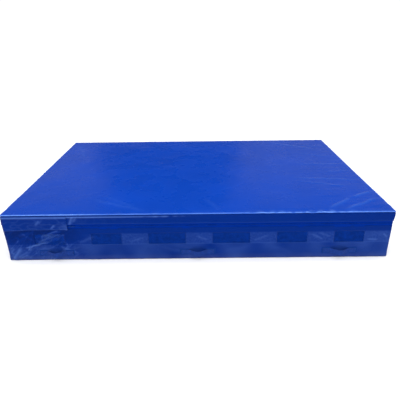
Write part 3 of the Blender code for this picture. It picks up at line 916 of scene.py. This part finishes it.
def make_top():
    """One sheet over the foam, with its rim turned down behind the piping."""
    near_ends = tuple(s * (HALF_LENGTH - d) for s in (-1, 1) for d in RIM_FINE)
    near_sides = tuple(s * (HALF_WIDTH - d) for s in (-1, 1) for d in RIM_FINE)
    stops = near_ends + TOP_FINE_STOPS
    x_lines = lines(RIM - HALF_LENGTH, HALF_LENGTH - RIM, TOP_SPACING_X, stops)
    right = x_lines > TOP_FINE_FROM
    finer = lines(x_lines[right][0], x_lines[-1], TOP_FINE_SPACING, near_ends)
    x_lines = np.concatenate([x_lines[~right], finer])
    y_lines = lines(RIM - HALF_WIDTH, HALF_WIDTH - RIM, TOP_SPACING_Y, near_sides)
    x, y = np.meshgrid(x_lines, y_lines)
    rows, columns = x.shape
    loop = (
        [(0, j) for j in range(columns)]
        + [(i, columns - 1) for i in range(1, rows)]
        + [(rows - 1, j) for j in range(columns - 2, -1, -1)]
        + [(i, 0) for i in range(rows - 2, 0, -1)]
    )
    rim = []
    for i, j in loop:
        if i in (0, rows - 1):
            nx, ny = 0.0, math.copysign(1.0, y[i, j])
        else:
            nx, ny = math.copysign(1.0, x[i, j]), 0.0
        rim.append((i * columns + j, nx, ny))
    points = np.stack([x, y, TOP + top_relief(x, y)], axis=-1).reshape(-1, 3)
    cloth = points[:, :2].copy()
    faces = grid_faces(rows, columns)
    index = np.array([r[0] for r in rim])
    normal = np.array([r[1:] for r in rim])
    previous = index
    for out, drop in RIM_RINGS:
        ring = points[index].copy()
        ring[:, :2] += normal * out
        ring[:, 2] -= drop
        start = len(points)
        points = np.concatenate([points, ring])
        cloth = np.concatenate([cloth, cloth[index] + normal * (out + drop)])
        current = np.arange(start, start + len(ring))
        following = np.roll(current, -1)
        before = np.roll(previous, -1)
        faces += [tuple(q) for q in np.stack([previous, current, following, before], axis=1).tolist()]
        previous = current
    tone = top_painted_highlight(points[:, 0], points[:, 1])
    points[:, 0] += corner_lean(points[:, 0], points[:, 1], points[:, 2])
    top = mesh_from("top_sheet", points, faces, cloth, tone)
    dress(top, MATERIALS["top"], "cover", "cover_pvc", ("top_panel",))


def gathers(side, u):
    """The puckers of the edge seam: short ones over longer ones, so that none repeats."""
    short = ripple_along(u, 0.048, side.seed + 6)
    return 0.55 * short + 0.55 * ripple_along(u, 0.13, side.seed + 46)


def pinch(side, u):
    """How hard the seam pulls at the edge bead along a wall."""
    if side is FRONT:
        tight = smoothstep(0.25, 0.5, u) * (1.0 - smoothstep(1.05, 1.3, u))
        return 0.25 + 1.1 * tight + 0.3 * hump(u, -0.3, 0.12)
    return 0.45 + 0.25 * ripple_along(u, 0.9, side.seed + 5)


def bead_painted_highlight(side, u, turn):
    """Painted highlight along the bead's crest, most where it stands proud."""
    crest = np.maximum(np.cos(turn - 1.0), 0.0) ** 2
    # rubbed here is the painted highlight's strength, highest at the front's left end and right part.
    rubbed = 0.32 + 0.08 * ripple_along(u, 0.5, side.seed + 45)
    if side is FRONT:
        rubbed = rubbed + 0.55 * (1.0 - smoothstep(-1.1, -0.6, u)) + 0.26 * smoothstep(0.25, 0.6, u)
        rubbed = rubbed * (1.0 + 0.30 * pinch(side, u) * gathers(side, u))
    return rubbed * crest


def bead_shape(side, u, turn):
    """The bead's out and z, drawn tight in places so that it scallops."""
    pull = pinch(side, u) * corner_fade(side, u)
    gather = gathers(side, u)
    radius = PIPING_RADIUS + 0.0004 * pull * gather
    drawn = 0.0009 * pull * ripple_along(u, 0.085, side.seed + 7)
    lift = radius * np.sin(turn) + 0.0006 * pull * gather
    return -PIPING_RADIUS + radius * np.cos(turn) + drawn, TOP - PIPING_RADIUS - PIPING_DROP + lift


def bead_lines(side):
    return u_round(side, round(2 * (side.half_span - CORNER) / RING_SPACING) - 1, 8)


def make_piping():
    """The bead round the top's rim."""
    around = np.linspace(0.0, 2.0 * math.pi, PIPING_FACETS + 1)[:-1]
    points, cloth, painted_lights = ring_grid(around, bead_lines, bead_shape, bead_painted_highlight, PIPING_RADIUS)
    rows, columns = points.shape[:2]
    faces = grid_faces(rows, columns, closed=True)
    last = (rows - 1) * columns
    faces += [(last + j, last + (j + 1) % columns, (j + 1) % columns, j) for j in range(columns)]
    piping = mesh_from("edge_bead", points, faces, cloth, painted_lights)
    dress(piping, MATERIALS["piping"], "cover", "piping_pvc", ("edge_piping",))


# ---------------------------------------------------------------- the skirt

SKIRT_SHEET = 0.0014
SKIRT_SLACK = 0.0006
HEM_HEIGHT = 0.018
HEM_TOP = SKIRT_LOW + HEM_HEIGHT


def skirt_slack(side, u):
    """How far the skirt's top bellies out under the bead: most where the cover is loose."""
    if side is FRONT:
        loose = 1.0 - smoothstep(-0.75, -0.10, u)
        crinkle = hump(u, -0.28, 0.16) * (1.0 + 0.6 * ripple_along(u, 0.045, 77))
        return SKIRT_SLACK + 0.0042 * loose + 0.0016 * crinkle
    return 0.0012 + 0.0022 * smoothstep(-0.3, 1.0, ripple_along(u, 0.9, side.seed + 8))


def skirt_out(side, u, z):
    """The skirt's outer face: tucked under the bead, bellied, then hanging straight to its hem."""
    tuck = 0.0050 * (1.0 - smoothstep(0.0, 0.0060, SKIRT_HIGH - z))
    belly = skirt_slack(side, u) * hump(z, 0.3770, 0.0075)
    waves = 0.0007 * ripple(u, 2.0 * z, 0.22, side.seed + 12)
    waves = waves + 0.0004 * folds(u, z, 0.07, side.seed + 13)
    waves = waves * (1.0 - smoothstep(0.372, 0.384, z))
    hem = 0.0007 * (1.0 - smoothstep(HEM_TOP - 0.002, HEM_TOP, z))
    lip = 1.0 - smoothstep(SKIRT_LOW, SKIRT_LOW + 0.010, z)
    flare = (0.0026 + 0.0008 * ripple_along(u, 0.4, side.seed + 14)) * lip
    ridge = 0.0
    if side is FRONT:
        ridge = crease(u, z, (-0.990, 0.305), (-0.955, 0.385), 0.0040, 0.010)
    return 0.0004 - tuck + corner_fade(side, u) * (belly + waves + flare + ridge) + hem


def skirt_painted_highlight(side, u, z):
    """Painted highlights on the slack belly, along the hem's lip, on the folds at the left and on the
    ridge by the flap.
    """
    belly = 190.0 * (skirt_slack(side, u) - SKIRT_SLACK) * hump(z, 0.3775, 0.0050)
    lip = 0.10 * (1.0 - smoothstep(SKIRT_LOW + 0.003, SKIRT_LOW + 0.006, z))
    # worn here is a painted highlight on the folds towards the left end.
    worn = 0.06 * folds(u, 0.7 * z, 0.11, side.seed + 44) * (1.0 - smoothstep(-1.1, -0.2, u))
    ridge = 0.0
    if side is FRONT:
        ridge = crease(u, z, (-0.990, 0.300), (-0.950, 0.388), 0.45, 0.014)
        ridge = ridge + crease(u, z, (-0.955, 0.330), (-0.925, 0.380), 0.30, 0.010)
    return np.minimum(belly, 0.85) + lip + worn + ridge


def skirt_shape(side, u, z):
    return skirt_out(side, u, z), z


def skirt_lines(side):
    return u_round(side, round(2 * (side.half_span - CORNER) / RING_SPACING), 6)


def make_skirt():
    z_lines = np.concatenate(
        [
            np.linspace(SKIRT_HIGH - 0.0005, 0.364, 13),
            np.linspace(0.360, HEM_TOP + 0.002, 5),
            np.linspace(HEM_TOP - 0.001, SKIRT_LOW, 6),
        ]
    )[::-1]
    points, cloth, painted_lights = ring_grid(z_lines, skirt_lines, skirt_shape, skirt_painted_highlight)
    faces = grid_faces(len(z_lines), points.shape[1], closed=True)
    skirt = mesh_from("skirt_sheet", points, faces, cloth, painted_lights)
    thicken(skirt, SKIRT_SHEET)
    dress(skirt, MATERIALS["skirt"], "cover", "cover_pvc", ("skirt_band",))


# ---------------------------------------------------------------- walls and vents


def zip_span(side):
    """The part of a wall's u that the zip slot takes, or None."""
    if side is FRONT:
        return ZIP_FRONT_START - TAPE_TAIL - SLOT_GAP, wall_end(side)
    if side is RIGHT:
        return CORNER - side.half_span, ZIP_SIDE_END + TAPE_TAIL + SLOT_GAP
    return None


FRONT_SPACING = 0.006
WALL_SPACING = 0.009
ROW_SPACING = 0.0055
FOOT_ROWS = [0.0045, 0.009]


def wall_lines(side, spans, slot):
    """Grid lines of a wall sheet, through its windows' edges and hems and the zip slot's ends."""
    flat = side.half_span - CORNER
    edges = [low - d for low, _ in spans for d in HEM_STEPS]
    edges += [high + d for _, high in spans for d in HEM_STEPS]
    spacing = FRONT_SPACING if side is FRONT else WALL_SPACING
    u_lines = lines(WALL_GAP - flat, flat, spacing, edges + list(slot or ()))
    u_lines = np.concatenate([u_lines, np.linspace(flat, wall_end(side), 8)[1:]])
    heights = [VENT_LOW - d for d in HEM_STEPS] + [VENT_HIGH + d for d in HEM_STEPS]
    heights += FOOT_ROWS + [SLOT_LOW]
    z_lines = lines(BASE_TOP + WALL_GAP, WALL_HIGH, ROW_SPACING, heights)
    return u_lines, z_lines


def cut_out(u_lines, z_lines, spans, slot):
    """Which faces of the wall's grid are left out for the windows and the zip slot."""
    middle_u = (u_lines[:-1] + u_lines[1:]) / 2
    middle_z = (z_lines[:-1] + z_lines[1:]) / 2
    holes = [(low, high, VENT_LOW, VENT_HIGH) for low, high in spans]
    if slot:
        holes.append((*slot, SLOT_LOW, WALL_HIGH))
    skip = np.zeros((len(middle_z), len(middle_u)), bool)
    for left, right, bottom, top in holes:
        in_rows = (middle_z > bottom) & (middle_z < top)
        skip |= in_rows[:, None] & ((middle_u > left) & (middle_u < right))[None, :]
    return skip


def make_wall(side):
    """A wall sheet with its windows cut and hemmed, and a corner at its right end."""
    spans = vent_spans(side)
    slot = zip_span(side)
    u_lines, z_lines = wall_lines(side, spans, slot)
    u, z = np.meshgrid(u_lines, z_lines)
    tuck = 0.0012 * (1.0 - smoothstep(0.0, 0.007, z - BASE_TOP))
    out = wall_out(side, u, z) + HEM_LIFT * hem_mask(spans, u, z) - tuck
    skip = cut_out(u_lines, z_lines, spans, slot)
    wall = wall_grid(f"wall_sheet_{side.name}", side, u, z, out, wall_painted_light(side, u, z), skip)
    drop_loose_points(wall)
    thicken(wall)
    dress(wall, MATERIALS["wall"], "cover", "cover_pvc", (f"wall_{side.name}",))
    width, height = u_lines[-1] - u_lines[0], WALL_HIGH - BASE_TOP
    area = width * height - sum(side.vents) * (VENT_HIGH - VENT_LOW)
    if slot:
        area -= (slot[1] - slot[0]) * (WALL_HIGH - SLOT_LOW)


def hem_mask(spans, u, z):
    """1 on the welded border round each window, 0 elsewhere."""
    mask = np.zeros(u.shape)
    for low, high in spans:
        beside = np.maximum(low - u, u - high)
        above = np.maximum(VENT_LOW - z, z - VENT_HIGH)
        away = np.maximum(beside, above)
        mask = np.maximum(mask, 1.0 - smoothstep(VENT_HEM, VENT_HEM + HEM_SLOPE, away))
    return mask


NET_PITCH = 0.0052
NET_THREAD = 0.0027
NET_THICKNESS = 0.0007
NET_LIFT = 0.6 * NET_THICKNESS
NET_MARGIN = 0.006
NET_PAINTED_HIGHLIGHT = 0.8


def thread_faces(first, count):
    """The four long sides of a flat thread whose section corners are listed one after another."""
    faces = []
    for k in range(4):
        here, beside = first + k * count, first + (k + 1) % 4 * count
        faces += [(here + i, beside + i, beside + i + 1, here + i + 1) for i in range(count - 1)]
    return faces


def make_net(side):
    """Woven mesh behind the windows of a wall: real threads that pass over and under."""
    points, faces, painted_lights = [], [], []
    half = NET_THREAD / 2
    thick = NET_THICKNESS / 2

    def add_thread(u, z, turn, across_u, across_z):
        """A thread along u and z that passes over and under the crossing ones."""
        over = np.where((np.arange(len(u)) + turn) % 2, 1.0, -1.0)
        out = MESH_OUT + wall_relief(side, u, z) * handle_flat(side, u, z) + NET_LIFT * over
        section = [
            place(side, u + s * half * across_u, out + o * thick, z + s * half * across_z)
            for s, o in ((-1, -1), (1, -1), (1, 1), (-1, 1))
        ]
        faces.extend(thread_faces(sum(len(p) for p in points), len(u)))
        points.append(np.concatenate(section))
        # The threads take the wall's painted highlights along its folds.
        painted_lights.append(np.tile(NET_PAINTED_HIGHLIGHT * fold_painted_highlight(side, u, z), 4))

    rows = np.arange(VENT_LOW - NET_MARGIN, VENT_HIGH + NET_MARGIN, NET_PITCH)
    for low, high in vent_spans(side):
        columns = np.arange(low - NET_MARGIN, high + NET_MARGIN, NET_PITCH)
        for number, u in enumerate(columns):
            add_thread(np.full(len(rows), u), rows, number, 1.0, 0.0)
        for number, z in enumerate(rows):
            add_thread(columns, np.full(len(columns), z), number + 1, 0.0, 1.0)
    painted_lights = np.concatenate(painted_lights)
    name = f"vent_net_{side.name}"
    net = mesh_from(name, np.concatenate(points), faces, tone=painted_lights, smooth=False)
    dress(net, MATERIALS["net"], "cover", "vent_mesh", (f"vent_mesh_{side.name}",))


# ---------------------------------------------------------------- zip


def zip_route():
    """The zip's route as (side, u, u): along the front, round the corner and along the right wall."""
    return (
        (FRONT, ZIP_FRONT_START, wall_end(FRONT)),
        (RIGHT, CORNER - RIGHT.half_span, ZIP_SIDE_END),
    )


def tape_strip(name, low, high, nodes):
    """One side of the zip's tape, between two heights."""
    parts, cloth, start = [], [], 0.0
    z_lines = np.linspace(low, high, 6)
    for side, first, last in zip_route():
        flat = side.half_span - CORNER
        if side is FRONT:
            first = first - TAPE_TAIL
            straight = lines(first, flat, 0.010)
            u_lines = np.concatenate([straight, np.linspace(flat, last, 8)[1:]])
        else:
            last = last + TAPE_TAIL
            u_lines = lines(first, last, 0.010)[1:]
        u, z = np.meshgrid(u_lines, z_lines)
        sag = 0.0005 * corner_fade(side, u) * ripple(u, z, 0.12, side.seed + 20)
        parts.append(place(side, u, TAPE_OUT + sag, z))
        cloth.append(np.stack([u - first + start, z], axis=-1))
        start += last - first
    points = np.concatenate(parts, axis=1)
    faces = grid_faces(len(z_lines), points.shape[1])
    tape = mesh_from(name, points, faces, np.concatenate(cloth, axis=1))
    thicken(tape, TAPE_SHEET)
    dress(tape, MATERIALS["tape"], "cover", "zip_tape", nodes)


CAPSULE_END = 0.45


def capsule(length_steps, sides):
    """A unit capsule along Z: points and faces, radius 1 at its middle."""
    heights = np.linspace(-1.0, 1.0, length_steps)
    radii = np.sqrt(np.clip(1.0 - heights**4, 0.0, 1.0))
    radii[0] = radii[-1] = CAPSULE_END
    turns = np.linspace(0.0, 2.0 * math.pi, sides, endpoint=False)
    points = np.array(
        [(r * math.cos(t), r * math.sin(t), h) for h, r in zip(heights, radii) for t in turns]
    )
    faces = [tuple(range(sides - 1, -1, -1))]
    faces += grid_faces(length_steps, sides, closed=True)
    last = (length_steps - 1) * sides
    faces.append(tuple(last + k for k in range(sides)))
    return points, faces


def scatter(name, shape, frames):
    """One mesh of many copies of a small shape. Each frame is an origin and three scaled axes."""
    points, faces = shape
    frames = np.asarray(frames, float)
    placed = frames[:, None, 0, :] + np.einsum("pk,nkd->npd", points, frames[:, 1:, :])
    every = []
    for n in range(len(frames)):
        shift = n * len(points)
        every += [tuple(i + shift for i in face) for face in faces]
    return mesh_from(name, placed.reshape(-1, 3), every)


def wall_axes(side, u):
    """Unit vectors along a wall, outwards and up, at a u."""
    _, _, nx, ny = outline(side, u)
    c, s = math.cos(side.angle), math.sin(side.angle)
    out = np.array([c * nx - s * ny, s * nx + c * ny, 0.0])
    along = np.array([-out[1], out[0], 0.0])
    return along, out, np.array([0.0, 0.0, 1.0])


def make_coil():
    """The closed coil: loops from both tapes, meshed along the middle line."""
    frames = []
    number = 0
    for side, first, last in zip_route():
        for u in np.arange(first, last, TOOTH_PITCH):
            along, out, up = wall_axes(side, u)
            stagger = TOOTH_STAGGER if number % 2 else -TOOTH_STAGGER
            centre = place(side, u, TAPE_OUT + TAPE_SHEET / 2, ZIP_HEIGHT + stagger)
            frames.append([centre, along * TOOTH_RADIUS, -out * TOOTH_RADIUS, up * TOOTH_HALF_LENGTH])
            number += 1
    coil = scatter("zip_coil", capsule(5, 6), frames)
    dress(coil, MATERIALS["coil"], "cover", "zip_coil", ("zip_coil_lower", "zip_coil_upper"))


def make_zip():
    tape_strip("zip_tape_bottom", ZIP_LOW, ZIP_HEIGHT - TAPE_GAP, ("zip_tape_lower",))
    tape_strip("zip_tape_top", ZIP_HEIGHT + TAPE_GAP, ZIP_HIGH, ("zip_tape_upper",))
    make_coil()


# ---------------------------------------------------------------- stitches


# Each seam's stitch length, gap and thread radius
SKIRT_STITCH = (0.0042, 0.0018, 0.00042)
FLAP_STITCH = (0.0040, 0.0016, 0.00042)
HANDLE_STITCH = (0.0034, 0.0010, 0.0005)
STITCH_LIFT = 0.0002


def add_stitches(name, frames, body):
    """One mesh of the stitches of a piece, which moves with its body."""
    seam = scatter(f"{name}_stitches", capsule(3, 4), frames)
    dress(seam, MATERIALS["thread"], body, "webbing")


def stitch_frames(points, outs, length, gap, radius):
    """Places for stitches along a path of points, with the outward direction at each point."""
    points = np.asarray(points, float)
    steps = np.linalg.norm(np.diff(points, axis=0), axis=1)
    distance = np.concatenate([[0.0], np.cumsum(steps)])
    frames = []
    for s in np.arange(0.5 * length, distance[-1] - 0.5 * length, length + gap):
        k = min(np.searchsorted(distance, s) - 1, len(steps) - 1)
        k = max(k, 0)
        t = (s - distance[k]) / max(steps[k], 1e-9)
        spot = points[k] * (1 - t) + points[k + 1] * t
        along = (points[k + 1] - points[k]) / max(steps[k], 1e-9)
        out = outs[k]
        frames.append([spot, out * radius, np.cross(along, out) * radius, along * 0.5 * length])
    return frames


def make_skirt_stitches():
    """The seam that holds the skirt's hem, all round."""
    frames = []
    for side in SIDES:
        u = np.linspace(CORNER - side.half_span, wall_end(side), round(2 * side.half_span / 0.009))
        z = np.full(len(u), HEM_TOP - 0.004)
        points = place(side, u, skirt_out(side, u, z) + STITCH_LIFT, z)
        outs = [wall_axes(side, v)[1] for v in u]
        frames += stitch_frames(points, outs, *SKIRT_STITCH)
    add_stitches("skirt", frames, "cover")


# ---------------------------------------------------------------- handles


STRAP_GAP = 0.0016
STRAP_INSET = 0.002
STRAP_SPACING = 0.0035
BLEND_START = 0.001
BLEND_END = 0.030
BOX_INSET = (0.006, 0.004)
PATCH_HALF_LENGTH = 0.0345
PATCH_HALF_HEIGHT = 0.0270
PATCH_CORNER = 0.006
PATCH_LIFT = 0.0001
# The patch's rings: how far in from its edge, and how far off the wall
PATCH_RINGS = ((0.0, 0.0), (0.0004, 0.0007), (0.0014, 0.0010), (0.006, 0.0010), (0.016, 0.0010))


def strap_out(handle, offset):
    """The strap's middle line: flat on its sewn ends, and an arch between them."""
    inside = np.clip(np.abs(offset) / HANDLE_HALF_SPAN, 0.0, 1.0)
    bow = HANDLE_BOW * (0.55 * np.cos(0.5 * math.pi * inside) ** 2 + 0.45 * (1.0 - inside**2) ** 1.5)
    u = handle.u + offset
    ground = wall_out(handle.side, u, np.full(np.shape(u), HANDLE_HEIGHT))
    lie = np.maximum(ground + STRAP_GAP, 0.0) + HANDLE_THICKNESS / 2
    return np.where(np.abs(offset) > HANDLE_HALF_SPAN, lie, np.maximum(lie, PATCH_FACE_OUT) + bow)


def strap_section():
    """A flat webbing section with rounded selvedges, as (across, through)."""
    half, thin = HANDLE_WIDTH / 2, HANDLE_THICKNESS / 2
    edge = [(half - 0.0006, thin * 0.8), (half - 0.0016, thin)]
    crown = (half - 0.0032, thin * 0.86)
    left = [(-across, through) for across, through in (*edge, crown)]
    over = [(-half, 0.0), *left, (0.0, thin), crown, edge[1], edge[0], (half, 0.0)]
    under = [(across, -through) for across, through in edge] + [(0.0, -thin)]
    return over, under + [(-across, -through) for across, through in edge[::-1]]


def make_strap(handle):
    """The webbing strap, flat on its sewn ends and arched between them."""
    reach = HANDLE_HALF_SPAN + HANDLE_END - STRAP_INSET
    offsets = lines(-reach, reach, STRAP_SPACING, (-HANDLE_HALF_SPAN, HANDLE_HALF_SPAN))
    middle = strap_out(handle, offsets)
    slope = np.gradient(middle, offsets)
    size = np.sqrt(1.0 + slope**2)
    length = np.concatenate([[0.0], np.cumsum(np.hypot(np.diff(offsets), np.diff(middle)))])
    points, cloth = [], []
    for face, shift in zip(strap_section(), (0.0, 0.001)):
        for across, through in face:
            u = handle.u + offsets - through * slope / size
            out = middle + through / size
            points.append(place(handle.side, u, out, HANDLE_HEIGHT + across))
            cloth.append(np.stack([length, np.full(len(offsets), across + shift)], axis=-1))
    rows, columns = len(points), len(offsets)
    faces = [face[::-1] for face in grid_faces(rows, columns)]
    last = (rows - 1) * columns
    faces += [(j, j + 1, last + j + 1, last + j)[::-1] for j in range(columns - 1)]
    faces.append(tuple(k * columns for k in range(rows)))
    faces.append(tuple(k * columns + columns - 1 for k in range(rows))[::-1])
    strap = mesh_from(f"{handle.name}_webbing", np.stack(points), faces, np.stack(cloth))
    dress(strap, MATERIALS["webbing"], None, "webbing", (f"{handle.name}_strap",))
    start = place(handle.side, handle.u, PATCH_FACE_OUT + BLEND_START, HANDLE_HEIGHT)
    end = place(handle.side, handle.u, PATCH_FACE_OUT + BLEND_END, HANDLE_HEIGHT)
    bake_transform(strap)


def patch_ring(inset):
    """A rounded rectangle, as (across, up), this far inside the patch's edge."""
    radius = max(PATCH_CORNER - inset, 0.001)
    across, up = PATCH_HALF_LENGTH - inset - radius, PATCH_HALF_HEIGHT - inset - radius
    ring = []
    for turn, (su, sz) in enumerate(((1, -1), (1, 1), (-1, 1), (-1, -1))):
        for step in range(5):
            angle = 0.5 * math.pi * (turn - 1 + step / 4)
            ring.append((su * across + radius * math.cos(angle), sz * up + radius * math.sin(angle)))
    return ring


def make_handle_patch(handle, letter, sign):
    """A reinforcing patch welded to the wall under a sewn end."""
    centre = handle.u + sign * (HANDLE_HALF_SPAN + HANDLE_END / 2)
    rings = np.array([patch_ring(inset) for inset, _ in PATCH_RINGS])
    lift = np.array([[lift] for _, lift in PATCH_RINGS])
    u, z = centre + rings[..., 0], HANDLE_HEIGHT + rings[..., 1]
    points = place(handle.side, u, wall_out(handle.side, u, z) + lift + PATCH_LIFT, z)
    rows, columns = u.shape
    faces = grid_faces(rows, columns, closed=True)
    faces.append(tuple((rows - 1) * columns + k for k in range(columns)))
    name = f"{handle.name}_patch_{letter}"
    patch = mesh_from(f"{name}_sheet", points, faces, np.stack([u, z], axis=-1))
    dress(patch, MATERIALS["patch"], "cover", "cover_pvc", (name,))


def make_handle_stitches(handle):
    """A box with a cross in it at each sewn end."""
    frames = []
    across, up = HANDLE_END / 2 - BOX_INSET[0], HANDLE_WIDTH / 2 - BOX_INSET[1]
    corners = [(-across, -up), (across, -up), (across, up), (-across, up)]
    runs = [(corners[k], corners[(k + 1) % 4]) for k in range(4)]
    runs += [(corners[0], corners[2]), (corners[1], corners[3])]
    t = np.linspace(0.0, 1.0, 12)
    outs = [wall_axes(handle.side, handle.u)[1]] * len(t)
    for sign in (-1, 1):
        centre = sign * (HANDLE_HALF_SPAN + HANDLE_END / 2)
        for start, end in runs:
            offset = centre + start[0] + (end[0] - start[0]) * t
            height = HANDLE_HEIGHT + start[1] + (end[1] - start[1]) * t
            out = strap_out(handle, offset) + HANDLE_THICKNESS / 2
            points = place(handle.side, handle.u + offset, out, height)
            frames += stitch_frames(points, outs, *HANDLE_STITCH)
    add_stitches(handle.name, frames, "cover")


# ---------------------------------------------------------------- flaps


FLAP_SHEET = 0.0010
FLAP_OUT = 0.0024
FLAP_SEAMS = (0.010, 0.0135)


def flap_out(side, span, u, z):
    """A flap's outer face: over the skirt, with a lifted outer corner and a soft curl along its hem."""
    low, high = span
    t = (u - low) / (high - low)
    corner_side = 1.0 - t if side is FRONT else t
    hang = smoothstep(0.0, 1.0, (SKIRT_HIGH - z) / (SKIRT_HIGH - FLAP_LOW))
    flare = 0.011 * smoothstep(0.55, 1.0, corner_side) * hang**1.5
    free_curl = 0.0040 * smoothstep(0.93, 1.0, 1.0 - corner_side) * hang
    hem_curl = 0.0016 * (1.0 - smoothstep(FLAP_LOW, FLAP_LOW + 0.012, z))
    belly = 0.0044 * hump(z, 0.3745, 0.0080)
    waves = 0.0010 * hang * ripple(u, z, 0.16, side.seed + 30)
    waves = waves + 0.0016 * hang * folds(u, 1.4 * z, 0.10, side.seed + 31)
    creased = sum(crease(u, z, *row[:4]) for row in FLAP_CREASES)
    return FLAP_OUT + flare + free_curl + hem_curl + belly + waves + creased


def flap_painted_highlight(side, span, u, z):
    """Painted highlights on the belly, the lower edge, the free corner, the pressed creases and the
    crumples.
    """
    free = (u - span[0]) / (span[1] - span[0])
    free = free if side is FRONT else 1.0 - free
    belly = 0.72 * hump(z, 0.3765, 0.0065)
    edge = 0.22 * (1.0 - smoothstep(FLAP_LOW + 0.002, FLAP_LOW + 0.006, z))
    corner = 0.20 * smoothstep(0.80, 1.0, free) * (1.0 - smoothstep(0.29, 0.34, z))
    creased = sum(crease(u, z, *row[:2], *row[4:]) for row in FLAP_CREASES)
    crumple = 0.16 * folds(u, 1.4 * z, 0.08, side.seed + 31)
    return belly + edge + corner + creased + crumple


def make_flap(side, name, span):
    """The loose flap over one end of the zip, with a double seam along its hem."""
    z_lines = np.concatenate(
        [
            np.linspace(FLAP_HIGH, 0.362, 8),
            np.linspace(0.357, FLAP_LOW + 0.018, 12),
            np.linspace(FLAP_LOW + 0.015, FLAP_LOW, 6),
        ]
    )[::-1]
    u_lines = lines(span[0], span[1], 0.007, (span[0] + 0.012, span[1] - 0.012))
    u, z = np.meshgrid(u_lines, z_lines)
    out, tone = flap_out(side, span, u, z), flap_painted_highlight(side, span, u, z)
    flap = wall_grid(f"{name}_sheet", side, u, z, out, tone)
    thicken(flap, FLAP_SHEET)
    body = name.replace("zip_", "")
    dress(flap, MATERIALS["flap"], body, "cover_pvc", (name,))
    frames = []
    for height in FLAP_SEAMS:
        u = np.linspace(span[0] + 0.008, span[1] - 0.008, 90)
        z = np.full(len(u), FLAP_LOW + height)
        points = place(side, u, flap_out(side, span, u, z) + STITCH_LIFT, z)
        outs = [wall_axes(side, 0.0)[1]] * len(u)
        frames += stitch_frames(points, outs, *FLAP_STITCH)
    add_stitches(name, frames, body)


# ---------------------------------------------------------------- foam

# CAD node, piece, material, slot and how much lower the piece is, under the top's creases
FOAM_PIECES = (
    ("foam_base_slab", "foam_block_base", "foam", "foam_soft", 0.0),
    ("foam_core_slab", "foam_block_core", "foam", "foam_soft", 0.0),
    ("foam_impact_layer", "foam_block_top", "firm_foam", "foam_dense", 0.0025),
)
FOAM_BULGE = 0.0035
FOAM_STEPS = 8


def make_foam():
    """The three foam slabs, with softly rounded and slightly bulging sides."""
    for node, name, material, slot, lower in FOAM_PIECES:
        low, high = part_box(node)
        height = high.z - low.z - lower
        rings = []
        for t in np.arange(FOAM_STEPS + 1) / FOAM_STEPS:
            bulge = FOAM_BULGE * max(math.sin(math.pi * t), 0.0) ** 0.5
            out = bulge - FOAM_BULGE - (low.x + HALF_LENGTH)
            level = low.z + height * t
            ring = [place(side, u_round(side, 59, 5), out, level) for side in SIDES]
            rings.append(np.concatenate(ring))
        points = np.stack(rings)
        rows, columns = points.shape[:2]
        faces = grid_faces(rows, columns, closed=True)
        faces.append(tuple(range(columns - 1, -1, -1)))
        faces.append(tuple((rows - 1) * columns + k for k in range(columns)))
        block = mesh_from(name, points, faces)
        dress(block, MATERIALS[material], "cover", slot, (node,))


# ---------------------------------------------------------------- everything


def dress_cad_nodes():
    """Materials for the CAD parts whose shapes are right as they are."""
    metal = [f"zip_{part}_{end}" for part in ("stop", "slider", "pull") for end in ("front", "right")]
    for name, material in [("base_panel", "base")] + [(name, "enamel") for name in metal]:
        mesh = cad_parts[name].data
        mesh.materials.clear()
        mesh.materials.append(MATERIALS[material])


bpy.context.scene.view_settings.view_transform = "Standard"
make_camera()
make_world()
make_floor()
for light_row in LIGHTS:
    make_area_light(*light_row)
make_foam()
make_top()
make_piping()
make_skirt()
for wall_side in SIDES:
    make_wall(wall_side)
    make_net(wall_side)
make_zip()
make_skirt_stitches()
for one_handle in HANDLES:
    make_strap(one_handle)
    make_handle_patch(one_handle, "a", -1)
    make_handle_patch(one_handle, "b", 1)
    make_handle_stitches(one_handle)
make_flap(FRONT, "zip_flap_front", [corner.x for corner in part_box("zip_flap_front")])
make_flap(RIGHT, "zip_flap_right", [corner.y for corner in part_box("zip_flap_right")])
dress_cad_nodes()
